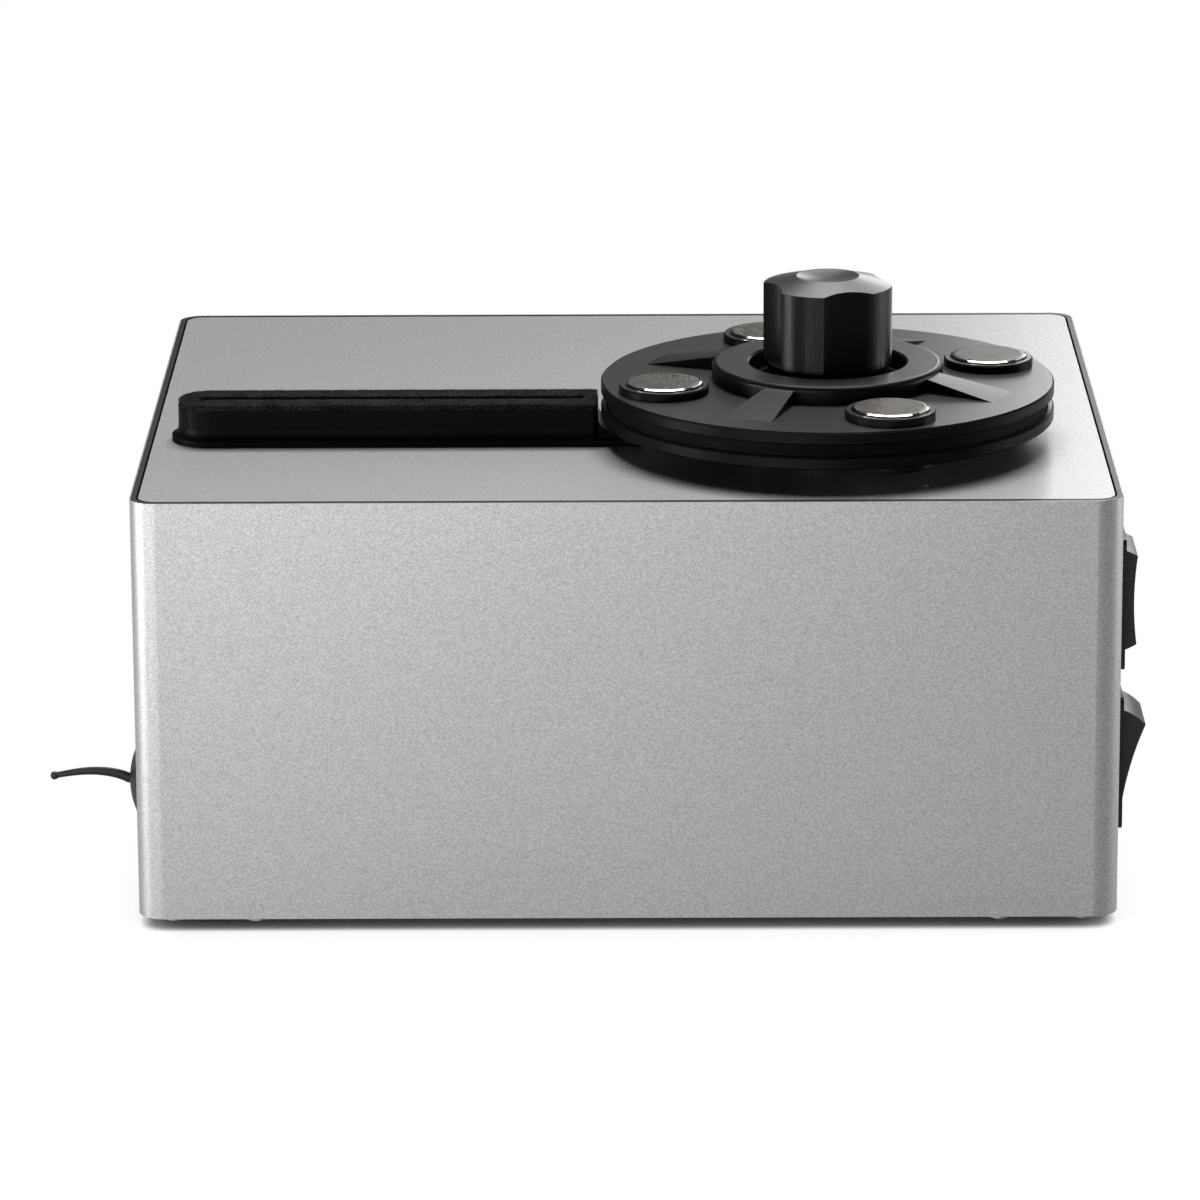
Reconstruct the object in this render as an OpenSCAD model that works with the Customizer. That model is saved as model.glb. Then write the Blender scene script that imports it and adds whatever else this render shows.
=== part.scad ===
// Record cleaning machine: a sheet-metal case with a driven disc, a lift-off clamp and a suction nozzle.
// Millimetres. +Z up, +X to the right, +Y to the back.
// The origin lies on the spindle's axis, at the height where a record's underside rests.

/* [Case] */
// Width of the case over the sleeve
body_w = 225; // [215:1:245]
// Depth of the case over the sleeve
body_d = 187; // [180:1:205]
// Height of the sleeve, without the feet
body_h = 98.5; // [96:0.5:115]
// Thickness of the sleeve's sheet
wall_t = 1.5; // [1:0.1:2]
// Outer radius of the four upright edges
corner_r = 6; // [4:0.5:8]
// Height of the rubber feet
foot_h = 3; // [2.6:0.2:8]
// Radius of a rubber foot
foot_r = 8; // [6:0.5:10]
// Distance of a foot's middle from the two nearest sides
foot_inset = 22; // [16:1:26]
// Thickness of the top plate
plate_t = 2; // [1.8:0.1:2.6]
// Thickness of the base plate
base_t = 2; // [1.5:0.1:3]
// Dark line between the top plate and the sleeve
plate_gap = 0.5; // [0.3:0.1:1]
// Distance of a corner post's axis from the two nearest sides
post_inset = 8; // [7.5:0.1:8.5]
// Radius of a corner post over its six corners
post_r = 4.6; // [4:0.1:5]
// Length of each leaf of a sleeve bracket
bracket_leaf = 12; // [10:0.5:14]
// Sheet thickness of a sleeve bracket
bracket_t = 1.5; // [1:0.1:2]
// Distance of the sleeve brackets from the left and right sides
bracket_inset = 27; // [24:1:30]

/* [Spindle and discs] */
// Spindle's axis from the case's left side
spindle_from_left = 159.5; // [155:0.5:163]
// Spindle's axis from the case's front
spindle_from_front = 60.3; // [58:0.1:66]
// Air under the driven disc's rim
disc_lift = 5.3; // [5:0.1:8]
// Radius of the driven disc and of the clamp
disc_r = 52.9; // [52:0.1:54]
// Thickness of a disc at its rim
disc_t = 3; // [2.6:0.1:3.6]
// Bevel on a disc's two outer edges
disc_bevel = 0.4; // [0.2:0.1:0.8]
// Thickness of the sealing ring on each disc
pad_t = 1.4; // [1.2:0.1:1.8]
// Distance of a sealing ring's outer edge from the disc's edge
pad_inset = 1.3; // [0.8:0.1:2]
// Width of a sealing ring
pad_w = 9; // [6:0.5:12]
// Radius of a disc's raised hub ring
hub_r = 27; // [26:0.1:28]
// Height of the hub ring over the disc's face
hub_rise = 4.2; // [3.9:0.1:4.6]
// Radius of the recess inside the hub ring
recess_r = 18.35; // [18:0.05:19]
// Width of the small step half way down the recess
recess_step = 1.4; // [1:0.1:1.6]
// Thickness of the floor left in the recess
recess_floor = 2; // [1.8:0.1:2.4]
// Outer end of the spokes, measured from the axis
spoke_r = 44.5; // [42:0.5:47]
// Angle that one spoke spans
spoke_angle = 15.4; // [12:0.2:18]
// Radius of the circle on which the magnets sit
magnet_ring_r = 40.5; // [40:0.1:41]
// Radius of a magnet
magnet_r = 9; // [8.5:0.1:9.2]
// Thickness of a magnet
magnet_t = 4.4; // [4:0.1:4.6]
// Plastic left under a magnet
magnet_floor = 1.2; // [1:0.1:1.4]
// Angle of the first magnet from +X
magnet_angle = 19.1; // [0:0.1:89]
// Wall of the round collar that holds a magnet
collar_wall = 1.35; // [1.2:0.05:1.6]
// Height of a collar over the disc's face
collar_rise = 1.9; // [1.5:0.1:2.2]
// Circle of the three screws that hold a disc
disc_screw_r = 11; // [10.5:0.1:11.2]
// Radius of the pin that enters the record
pin_r = 3.55; // [3.4:0.05:3.6]
// Height of the pin over the record's underside
pin_h = 10.5; // [8:0.5:12]
// Radius of the spindle's shaft
shaft_r = 4; // [3.9:0.1:4.5]
// Thickness of the spindle's flange
flange_t = 3; // [2.6:0.1:3.1]
// Radius of the shoulder under the flange
shoulder_r = 7; // [6.5:0.1:8]
// Thickness of the washer under the shoulder
thrust_t = 0.6; // [0.4:0.1:0.8]

/* [Knob] */
// Radius of the knob over its round parts
knob_r = 15; // [14.6:0.1:15.6]
// Height of the knob's side
knob_side_h = 18.2; // [16:0.1:22]
// Height of the knob's cone over its side
knob_cone_h = 2; // [1.5:0.1:3]
// Radius of the dish in the knob's top
dish_r = 7.3; // [6:0.1:9]
// Depth of the dish
dish_depth = 0.9; // [0.5:0.1:1.4]
// Half the angle that one scallop spans
scallop_angle = 24; // [20:1:28]
// Depth of a scallop under its chord
scallop_depth = 1.2; // [0.8:0.1:1.6]
// Radius of the knob's neck in the recess
neck_r = 14; // [13.5:0.1:14.4]
// Air between the hub ring's top and the knob's side
knob_gap = 0.1; // [0.1:0.1:0.6]
// Depth of the bore that takes the pin, from the neck's foot
knob_bore = 11; // [10:0.5:14]

/* [Nozzle] */
// Distance of the nozzle's outer end from the spindle's axis
nozzle_reach = 151.8; // [150:0.1:153]
// Air between the nozzle and the discs
nozzle_gap = 0.7; // [0.5:0.1:1.5]
// Width of the nozzle
nozzle_w = 15.7; // [15:0.1:16.6]
// How far the foot flange stands out all round
flange_out = 1.55; // [1:0.05:2.2]
// Thickness of the foot flange
nozzle_flange_t = 1.4; // [1:0.1:1.8]
// Height over which the flange curves into the wall
nozzle_fillet = 2.4; // [1.6:0.1:3]
// How far the foot runs on under the discs
nozzle_tail = 10.5; // [8:0.1:12]
// Thickness of the velvet strip
velvet_t = 1.5; // [1.2:0.1:2]
// How far the velvet stands over the record's underside
velvet_over = 0.2; // [0:0.05:0.5]
// Distance of the velvet's edge from the nozzle's edge
velvet_inset = 0.2; // [0.1:0.05:0.5]
// Distance of the slot's outer end from the spindle's axis
slot_outer_r = 146.8; // [145:0.1:147.5]
// Distance of the slot's inner end from the spindle's axis
slot_inner_r = 56.5; // [56:0.1:60]
// Width of the slot
slot_w = 2.4; // [1.6:0.1:3]
// Width of the air channel under the slot
channel_w = 7.6; // [6:0.1:7.8]
// Height of the air channel
channel_h = 4; // [3:0.1:4.6]
// Distance of the hose port from the spindle's axis
port_r = 107; // [100:1:114]
// Distance of the nozzle's two screws from its ends
nozzle_screw_end = 16; // [12:1:24]
// Sideways distance of the nozzle's screws from its middle
nozzle_screw_side = 5.8; // [5.7:0.05:5.9]

/* [Hoses] */
// Outer radius of a hose stub
stub_r = 6; // [5.5:0.1:6.5]
// Radius of the hole through a stub
stub_bore = 4.6; // [4:0.1:4.8]
// Length of a stub
stub_h = 8; // [6:0.5:9]
// Wall of a hose
hose_wall = 1.9; // [1.4:0.1:2.1]
// Bend radius along the middle of the suction hose
hose_bend = 11; // [9:0.5:11.5]
// Air between the top plate and the suction hose
hose_drop = 1.5; // [0.5:0.1:3]

/* [Waste tank] */
// Space between the tank's lid and the top plate
tank_headroom = 25.5; // [25:0.1:29.5]
// Wall of the tank
tank_wall = 2; // [1.6:0.1:2.6]
// Radius of the tank's upright edges
tank_corner = 6; // [4:0.5:7]
// Gap between the sleeve's outside and the tank
tank_from_left = 4.5; // [4:0.1:6]
// Distance of the tank from the case's front
tank_from_front = 14; // [13.5:0.5:16]
// Gap between the tank and the gear motor's bracket
tank_from_bracket = 4.9; // [2:0.1:7.9]
// Gap between the tank and the circuit board
tank_from_board = 11.5; // [5.5:0.5:15.5]
// Height of the legs that carry the tank
tank_leg_h = 13; // [11:0.5:13]
// Radius of a tank leg
tank_leg_r = 5; // [4:0.5:6]
// Thickness of the tank's lid
lid_t = 3; // [2:0.2:3.4]
// Thickness of the lid's gasket
gasket_t = 1; // [0.6:0.1:1.4]
// Distance of the lid's screws and the legs from the tank's sides
tank_post_inset = 6; // [5.5:0.1:7]
// Place of the lid's outlet, to the right of the hose port
outlet_dx = 27; // [22:1:32]
// Distance of the lid's outlet from the tank's back
outlet_from_back = 13.7; // [10:0.1:20]

/* [Drain] */
// Drain's axis from the case's front
drain_from_front = 30; // [29:0.5:34]
// Drain's axis over the case's bottom edge
drain_h = 24.7; // [24:0.1:30]
// Radius of the drain's bore
drain_r = 5; // [4:0.1:5.4]
// Wall of the drain's bush
bush_wall = 1.9; // [1.5:0.1:2.2]
// How far the bush reaches into the tank
bush_in = 4; // [2:0.5:6]
// How far the bush's collar stands out round it
bush_collar = 2.4; // [1.6:0.1:3]
// Radius of the plug's cap
cap_r = 9; // [8.6:0.1:10]
// Height of the plug's cap
cap_h = 3.3; // [3:0.1:4.5]
// Height of the cap's straight edge
cap_edge = 1; // [0.6:0.1:1.6]
// Length of the plug's stem
stem_l = 12; // [9:0.5:13]
// Reach of the plug's pull tail beyond the cap
tail_l = 18.6; // [14:0.2:24]
// Rise of the pull tail's arch
tail_rise = 1.6; // [0.8:0.1:2.4]
// Radius of the pull tail at its root
tail_r = 1.2; // [1:0.05:1.6]

/* [Vacuum motor] */
// Motor's axis from the case's right side
fan_from_right = 54.5; // [54:0.5:56]
// Motor's axis from the case's back
fan_from_back = 47.5; // [46:0.5:49]
// Radius of the fan's housing
fan_r = 38; // [36:0.5:39]
// Height of the fan's housing
fan_h = 32; // [30:0.5:33]
// Wall of the fan's housing
fan_wall = 2; // [1.5:0.1:2.4]
// Radius of the motor under the fan
fan_motor_r = 27; // [25:0.5:28]
// Space between the fan's housing and the top plate
fan_headroom = 27.5; // [26.5:0.1:29.5]
// Height of a rubber mount
mount_h = 5; // [4:0.5:6]
// Radius of a rubber mount
mount_r = 6.5; // [5:0.5:7]
// Circle of the three rubber mounts
mount_ring_r = 31; // [30.5:0.5:32]
// Radius of the impeller
impeller_r = 33; // [30:0.5:34]
// Height of the impeller's blades
blade_h = 10; // [8:0.5:11]
// Number of blades
blade_n = 9; // [6:1:12]
// Radius of the fan's shaft
fan_shaft_r = 3; // [2.5:0.1:4]
// Number of air outlets round the fan's housing
outlet_n = 8; // [6:1:10]
// Width of an air outlet
outlet_w = 10; // [8:0.5:12]
// Height of an air outlet
outlet_h = 5; // [4:0.5:6]
// Number of air slots in the sleeve's back
vent_n = 9; // [5:2:9]
// Distance between two air slots
vent_pitch = 7; // [6:0.5:8]
// Width of an air slot
vent_w = 3; // [2:0.5:4]
// Height of an air slot
vent_h = 34; // [24:1:40]

/* [Drive] */
// Gear module, the pitch diameter of one tooth
gear_m = 1; // [0.98:0.01:1.02]
// Teeth of the gear on the spindle
gear_n = 60; // [56:2:60]
// Teeth of the motor's pinion
pinion_n = 15; // [13:2:17]
// Thickness of both gears
gear_t = 6; // [4:0.5:7]
// Slack left between the meshing teeth
backlash = 0.35; // [0.2:0.05:0.5]
// Radius of the motor's output shaft
motor_shaft_r = 3; // [2.5:0.1:3.5]
// Radius of the gear motor's gearbox
gearbox_r = 18.5; // [17.5:0.5:19]
// Height of the gearbox
gearbox_h = 22; // [18:0.5:24]
// Radius of the gear motor's can
can_r = 17; // [15:0.5:17.5]
// Height of the gear motor's can
can_h = 26; // [22:0.5:30]
// Sheet thickness of the motor's bracket
strut_t = 2.5; // [2:0.1:3]
// Height of the motor's bracket over the base plate
strut_h = 57.5; // [56:0.5:58]
// Length of each foot of the motor's bracket
strut_foot = 10; // [8:0.5:11]
// Circle of the gear motor's four screws
motor_screw_r = 15.5; // [15:0.1:15.5]
// Outer radius of the bearing's tube
bearing_r = 11; // [9:0.5:12]
// Radius of the bearing's flange under the top plate
bearing_flange_r = 22; // [21:0.5:24]
// Thickness of the bearing's flange
bearing_flange_t = 3; // [2.5:0.1:4]
// Circle of the bearing's three screws
bearing_screw_r = 17; // [16.5:0.1:18]
// Wall of the two bearing bushes
bush_t = 2; // [1.5:0.1:2.5]
// Length of a bearing bush
bush_l = 12; // [8:0.5:12]

/* [Switches] */
// Switches' middle from the case's front
switch_from_front = 32.75; // [30:0.25:38]
// Upper switch's middle over the case's bottom edge
upper_switch_h = 68.5; // [67:0.1:70]
// Lower switch's middle over the case's bottom edge
lower_switch_h = 30.3; // [29:0.1:31]
// Width of a switch's bezel
bezel_w = 25.5; // [25:0.1:26.5]
// Height of a switch's bezel
bezel_h = 31.5; // [31:0.1:32.5]
// Thickness of a switch's bezel
bezel_t = 2; // [1.6:0.1:2.4]
// Width of the switch behind the wall
switch_w = 22; // [21.6:0.1:22.6]
// Height of the switch behind the wall
switch_h = 28; // [27.4:0.1:28.6]
// Depth of the switch behind the wall
switch_d = 22; // [18:0.5:24]
// Width of a rocker
rocker_w = 17.4; // [16.6:0.1:17.8]
// Height of a rocker's face between its two ends
rocker_h = 21; // [20:0.1:22]
// Height of a rocker's ends over the bezel, at mid travel
rocker_out = 2.9; // [2.4:0.1:3.4]
// Hollow of a rocker's face
rocker_hollow = 0.7; // [0.4:0.1:1]
// Depth of a rocker's pivot under the bezel's face
pivot_depth = 4; // [3.5:0.1:4.5]
// Radius of a rocker's pivot pins
pivot_r = 1.5; // [1.2:0.1:1.8]
// Tilt of a rocker to either side of mid travel
rocker_tilt = 15; // [12:0.5:16]
// Length of a switch's rear terminals
tab_l = 8; // [6:0.5:10]
// Width of a terminal
tab_w = 6.3; // [4.8:0.1:6.5]
// Thickness of a terminal
tab_t = 0.8; // [0.5:0.1:1]
// Distance between two terminals
tab_pitch = 9; // [7:0.5:9.5]

/* [Mains inlet and board] */
// Inlet's middle from the case's left side
inlet_from_left = 42.5; // [36:0.5:50]
// Inlet's middle over the case's bottom edge
inlet_h = 31; // [28:0.5:40]
// Width of the inlet's flange
inlet_flange_w = 30.8; // [30:0.1:32]
// Height of the inlet's flange
inlet_flange_h = 23.6; // [23:0.1:25]
// Thickness of the inlet's flange
inlet_flange_t = 2.5; // [2:0.1:3]
// Width of the inlet behind the wall
inlet_body_w = 27; // [26.6:0.1:27.6]
// Height of the inlet behind the wall
inlet_body_h = 19.8; // [19.4:0.1:20.4]
// Depth of the inlet behind the wall
inlet_body_d = 21; // [19:0.5:23]
// Width of the inlet's socket
socket_w = 24.4; // [24:0.1:24.8]
// Height of the inlet's socket
socket_h = 16.8; // [16.4:0.1:17.2]
// Depth of the inlet's socket from the flange's face
socket_d = 17.5; // [16:0.5:18]
// Distance of the pins' tips from the flange's face
pin_sunk = 5; // [4.5:0.1:6]
// Width of a pin in the socket
prong_w = 2; // [1.6:0.1:2.4]
// Height of a pin in the socket
prong_h = 4; // [3:0.1:5]
// Distance of the two side pins from the middle
prong_side = 7; // [6:0.1:8]
// Rise of the middle pin, and drop of the side pins
prong_rise = 2; // [1.6:0.1:2.4]
// Length of the pins' rear tabs
prong_tab_l = 7; // [5:0.5:7.5]
// Width of the circuit board
board_w = 52; // [46:1:56]
// Depth of the circuit board
board_d = 44; // [43:0.5:46]
// Gap between the circuit board and the fan's housing
board_from_fan = 12.5; // [10.5:0.5:16.5]
// Board's middle from the case's back
board_from_back = 49.5; // [48:0.5:52]
// Thickness of the circuit board
board_t = 1.6; // [1:0.2:2]
// Height of the stand-offs under the board
standoff_h = 6; // [5:0.5:8]
// Distance of the stand-offs from the board's edges
board_screw_inset = 4; // [3.5:0.5:5]
// Width of the transformer
transformer_w = 14; // [12:0.5:15]
// Depth of the transformer
transformer_d = 22; // [18:1:24]
// Height of the transformer
transformer_h = 15; // [12:1:18]
// Width of the relay
relay_w = 9; // [7:0.5:10]
// Depth of the relay
relay_d = 16; // [14:1:18]
// Height of the relay
relay_h = 12; // [10:1:14]
// Radius of the large capacitor
large_cap_r = 5; // [4.5:0.1:5.5]
// Height of the large capacitor
large_cap_h = 14; // [12:1:18]
// Radius of the small capacitor
small_cap_r = 4; // [3:0.1:4]
// Height of the small capacitor
small_cap_h = 11; // [8:1:14]
// Width of the row of terminals
row_w = 26; // [20:1:30]
// Depth of the row of terminals
row_d = 7; // [5:0.5:8]
// Height of the row of terminals
row_h = 9; // [7:0.5:11]

/* [Fits and fasteners] */
// Radius of a screw's shank
screw_r = 1.5; // [1.4:0.05:1.6]
// Length of a screw's shank
screw_l = 8; // [7.6:0.1:8.4]
// Radius of a screw's head
head_r = 2.9; // [2.6:0.1:3]
// Height of a flat screw head
pan_h = 2; // [1.6:0.1:2.4]
// Height of a countersunk screw head
sunk_h = 1.6; // [1.4:0.1:1.7]
// Air round a screw's shank and head
screw_fit = 0.1; // [0.05:0.05:0.2]
// Air round a shaft that turns or slides in its bore
run_fit = 0.05; // [0.02:0.01:0.09]
// Air between seated pieces
seat_fit = 0.2; // [0.1:0.05:0.3]

/* [Hidden] */
$fn = 96;

// A cut runs this far past the face it leaves by
over = 1;

// Levels, counted from the record's underside
disc_stack = disc_t + pad_t;
top_z = -(disc_lift + disc_stack);
plate_under = top_z - plate_t;
case_bottom = top_z - body_h;
rest_z = case_bottom - foot_h;
floor_z = case_bottom + base_t;

// Sides of the case
left_x = -spindle_from_left;
right_x = left_x + body_w;
front_y = -spindle_from_front;
back_y = front_y + body_d;
mid_x = (left_x + right_x) / 2;
mid_y = (front_y + back_y) / 2;
inner_w = body_w - 2 * wall_t;
inner_d = body_d - 2 * wall_t;
inner_r = corner_r - wall_t;

// Levels of a disc moulding, counted from its flat face
hub_top = disc_t + hub_rise;
collar_top = disc_t + collar_rise;
collar_r = magnet_r + screw_fit + collar_wall;
hub_round = 1.2;

// Feet
foot_bevel = 0.6;
foot_screw_z = rest_z + pan_h + 0.2;

// Spindle and bearing
disc_floor_z = -pad_t - recess_floor;
flange_r = recess_r - recess_step - seat_fit;
flange_z = disc_floor_z - flange_t;
shoulder_z = top_z + thrust_t;
bore_r = shaft_r + run_fit;
bush_r = bore_r + bush_t;
bearing_top_r = bush_r + 5.5;
pin_bevel = 1;
washer_r = disc_screw_r - screw_r - 2 * seat_fit;

// Gears and gear motor
pitch_r = gear_m * gear_n / 2;
pinion_pitch_r = gear_m * pinion_n / 2;
addendum = 0.9 * gear_m;
dedendum = 1.15 * gear_m;
gear_gap = 0.5;
motor_x = -(pitch_r + pinion_pitch_r + 0.1 * gear_m);
strut_top = floor_z + strut_h;
gear_z = strut_top + gear_gap;
gear_hub_r = 8;
gear_foot = 2.5;
gear_low = gear_z - gear_foot;
gear_high = gear_z + gear_t + gear_foot;
bearing_low = gear_high + seat_fit;
gearbox_z = strut_top - strut_t - gearbox_h;
shaft_foot = gearbox_z + 10;
can_boss_r = 5;
can_boss_h = 2;
strut_half = gearbox_r + 2;

// Nozzle
nozzle_end = -(disc_r + nozzle_gap);
nozzle_top = velvet_over - velvet_t;
nozzle_half = nozzle_w / 2;
nozzle_round = 1.2;
slot_depth = 5;
channel_floor = 1.4;
nozzle_screw_x = [-nozzle_reach + nozzle_screw_end, nozzle_end - nozzle_screw_end];

// Inlet, fan's axis and board
inlet_x = left_x + inlet_from_left;
inlet_z = case_bottom + inlet_h;
fan_x = right_x - fan_from_right;
fan_y = back_y - fan_from_back;
board_x = fan_x - fan_r - board_from_fan - board_w / 2;
board_y = back_y - board_from_back;

// Tank and hoses
tank_left = left_x + tank_from_left;
tank_front = front_y + tank_from_front;
tank_z = floor_z + tank_leg_h;
tank_w = motor_x - strut_half - tank_from_bracket - tank_left;
tank_d = board_y - board_d / 2 - tank_from_board - tank_front;
tank_h = plate_under - tank_headroom - lid_t - gasket_t - tank_z;
tank_x = tank_left + tank_w / 2;
tank_y = tank_front + tank_d / 2;
lid_z = tank_z + tank_h + gasket_t;
lid_top = lid_z + lid_t;
outlet_x = -port_r + outlet_dx;
outlet_y = tank_front + tank_d - outlet_from_back;
hose_bore = stub_r + screw_fit;
hose_r = hose_bore + hose_wall;
hose_z = plate_under - hose_drop - hose_r;
drain_y = front_y + drain_from_front;
drain_z = case_bottom + drain_h;
bush_out_r = drain_r + bush_wall;

// Vacuum motor
fan_low = floor_z + mount_h;
fan_plate = 2;
fan_top = plate_under - fan_headroom;
fan_seat = fan_top - fan_h;
fan_motor_h = fan_seat - fan_low;
impeller_z = fan_seat + 8;
impeller_disc = 2;
eye_r = 12;
impeller_hub_r = 8;
impeller_ring = 1.5;

// Switches
switch_y = front_y + switch_from_front;
upper_z = case_bottom + upper_switch_h;
lower_z = case_bottom + lower_switch_h;
pivot_x = right_x + bezel_t - pivot_depth;
rocker_r = sqrt(pow(rocker_h / 2, 2) + pow(pivot_depth + rocker_out, 2));
well_r = rocker_r + 0.3;
well_w = rocker_w + 0.6;
face_r = (pow(rocker_h / 2, 2) + pow(rocker_hollow, 2)) / (2 * rocker_hollow);

// Corners of a rectangle that has its middle at x, y
function corners(x, y, w, d) = [for (i = [-1, 1], j = [-1, 1]) [x + i * w / 2, y + j * d / 2]];

// Points of a ring of n places
function ring(x, y, r, n, start) = [
    for (i = [0:n - 1])
        let (a = start + i * 360 / n)
        [x + r * cos(a), y + r * sin(a)]
];

post_spots = corners(mid_x, mid_y, body_w - 2 * post_inset, body_d - 2 * post_inset);
bracket_spots = corners(mid_x, mid_y, body_w - 2 * bracket_inset, inner_d - bracket_leaf);
tank_spots = corners(tank_x, tank_y, tank_w - 2 * tank_post_inset, tank_d - 2 * tank_post_inset);
strut_spots = corners(motor_x, 0, gearbox_r, 2 * strut_half + 2 * strut_t + strut_foot);
board_spots = corners(board_x, board_y, board_w - 2 * board_screw_inset, board_d - 2 * board_screw_inset);
mount_spots = ring(fan_x, fan_y, mount_ring_r, 3, 90);
foot_spots = corners(mid_x, mid_y, body_w - 2 * foot_inset, body_d - 2 * foot_inset);
base_spots = concat(post_spots, bracket_spots, tank_spots, strut_spots, board_spots, mount_spots);
bearing_spots = ring(0, 0, bearing_screw_r, 3, 30);
disc_spots = ring(0, 0, disc_screw_r, 3, magnet_angle);
motor_spots = ring(motor_x, 0, motor_screw_r, 4, 45);

// Rectangle with round corners, centred
module round_rect(w, d, r) {
    square([w - 2 * r, d], center = true);
    square([w, d - 2 * r], center = true);
    for (p = corners(0, 0, w - 2 * r, d - 2 * r))
        translate(p) circle(r);
}

// Upright block with round corners, from its foot
module round_block(w, d, h, r) {
    linear_extrude(h) round_rect(w, d, r);
}

// Tube from its foot
module tube(r_out, r_in, h) {
    difference() {
        cylinder(r = r_out, h = h);
        translate([0, 0, -over]) cylinder(r = r_in, h = h + 2 * over);
    }
}

// Holes for screws at a list of places, from z upwards
module screw_holes(spots, z, h) {
    for (p = spots)
        translate([p[0], p[1], z]) cylinder(r = screw_r + screw_fit, h = h);
}

// Flat-headed screw whose head lies under z = 0 and whose shank points up
module pan_screw() {
    difference() {
        union() {
            translate([0, 0, -pan_h]) cylinder(r = head_r, h = pan_h);
            cylinder(r = screw_r, h = screw_l);
        }
        translate([0, 0, -pan_h - over]) cylinder(r = head_r / 2, h = pan_h / 2 + over, $fn = 6);
    }
}

// Countersunk screw whose head ends flush at z = 0 and whose shank points down
module sunk_screw() {
    difference() {
        union() {
            translate([0, 0, -sunk_h]) cylinder(r1 = screw_r, r2 = head_r, h = sunk_h);
            translate([0, 0, -screw_l]) cylinder(r = screw_r, h = screw_l);
        }
        translate([0, 0, -sunk_h / 2]) cylinder(r = head_r / 2, h = sunk_h / 2 + over, $fn = 6);
    }
}

// Cut for the head and shank of a countersunk screw, pointing down from z = 0
module sunk_cut(depth) {
    hole = screw_r + screw_fit;
    translate([0, 0, -sunk_h]) cylinder(r1 = hole, r2 = head_r + screw_fit, h = sunk_h);
    translate([0, 0, -depth]) cylinder(r = hole, h = depth);
    translate([0, 0, -0.001]) cylinder(r = head_r + screw_fit, h = over);
}

// Case

module sleeve_cover() {
    color([0.76, 0.77, 0.78]) difference() {
        translate([mid_x, mid_y, case_bottom]) round_block(body_w, body_d, body_h, corner_r);
        translate([mid_x, mid_y, case_bottom - over])
            round_block(inner_w, inner_d, body_h + 2 * over, inner_r);
        for (z = [upper_z, lower_z])
            translate([right_x - wall_t / 2, switch_y, z])
                cube([3 * wall_t, switch_w + 2 * seat_fit, switch_h + 2 * seat_fit], center = true);
        translate([left_x - over, drain_y, drain_z]) rotate([0, 90, 0])
            cylinder(r = bush_out_r + seat_fit, h = wall_t + 2 * over);
        translate([inlet_x, back_y - wall_t / 2, inlet_z])
            cube([inlet_body_w + 2 * seat_fit, 3 * wall_t, inlet_body_h + 2 * seat_fit], center = true);
        for (i = [0:vent_n - 1])
            translate([fan_x + vent_pitch * (i - (vent_n - 1) / 2), back_y - wall_t / 2, fan_seat])
                cube([vent_w, 3 * wall_t, vent_h], center = true);
    }
}

module top_plate() {
    color([0.8, 0.81, 0.83]) difference() {
        translate([mid_x, mid_y, plate_under])
            round_block(inner_w - 2 * plate_gap, inner_d - 2 * plate_gap, plate_t, inner_r - plate_gap);
        translate([0, 0, plate_under - over]) cylinder(r = bearing_top_r + seat_fit, h = plate_t + 2 * over);
        for (p = bearing_spots)
            translate([p[0], p[1], top_z]) sunk_cut(plate_t + over);
        translate([-port_r, 0, plate_under - over]) cylinder(r = stub_r + seat_fit, h = plate_t + 2 * over);
        for (x = nozzle_screw_x)
            translate([x, nozzle_screw_side, plate_under - over])
                cylinder(r = screw_r + screw_fit, h = plate_t + 2 * over);
    }
}

module base_plate() {
    color([0.55, 0.56, 0.58]) difference() {
        translate([mid_x, mid_y, case_bottom])
            round_block(inner_w - 2 * seat_fit, inner_d - 2 * seat_fit, base_t, inner_r - seat_fit);
        screw_holes(concat(base_spots, foot_spots), case_bottom - over, base_t + 2 * over);
    }
}

module corner_posts() {
    color([0.7, 0.7, 0.72]) difference() {
        for (p = post_spots)
            translate([p[0], p[1], floor_z]) cylinder(r = post_r, h = plate_under - floor_z, $fn = 6);
        screw_holes(post_spots, floor_z - over, screw_l + over);
    }
}

// One leaf lies on the base plate, the other against the sleeve's inside
module sleeve_brackets() {
    color([0.62, 0.63, 0.65]) difference() {
        for (p = bracket_spots) {
            back = p[1] > mid_y ? 1 : -1;
            wall_y = mid_y + back * (inner_d - bracket_t) / 2;
            translate([p[0], p[1], floor_z + bracket_t / 2])
                cube([bracket_leaf, bracket_leaf, bracket_t], center = true);
            translate([p[0], wall_y, floor_z + bracket_leaf / 2])
                cube([bracket_leaf, bracket_t, bracket_leaf], center = true);
        }
        screw_holes(bracket_spots, floor_z - over, bracket_t + 2 * over);
    }
}

module base_screws() {
    color([0.45, 0.46, 0.48])
        for (p = base_spots)
            translate([p[0], p[1], case_bottom]) pan_screw();
}

module feet() {
    color([0.08, 0.08, 0.08]) difference() {
        for (p = foot_spots)
            translate([p[0], p[1], rest_z]) {
                cylinder(r1 = foot_r - foot_bevel, r2 = foot_r, h = foot_bevel);
                translate([0, 0, foot_bevel]) cylinder(r = foot_r, h = foot_h - foot_bevel);
            }
        screw_holes(foot_spots, rest_z - over, foot_h + 2 * over);
        for (p = foot_spots)
            translate([p[0], p[1], rest_z - over])
                cylinder(r = head_r + screw_fit, h = foot_screw_z - rest_z + over);
    }
}

module foot_screws() {
    color([0.45, 0.46, 0.48])
        for (p = foot_spots)
            translate([p[0], p[1], foot_screw_z]) pan_screw();
}

// Nozzle

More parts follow.
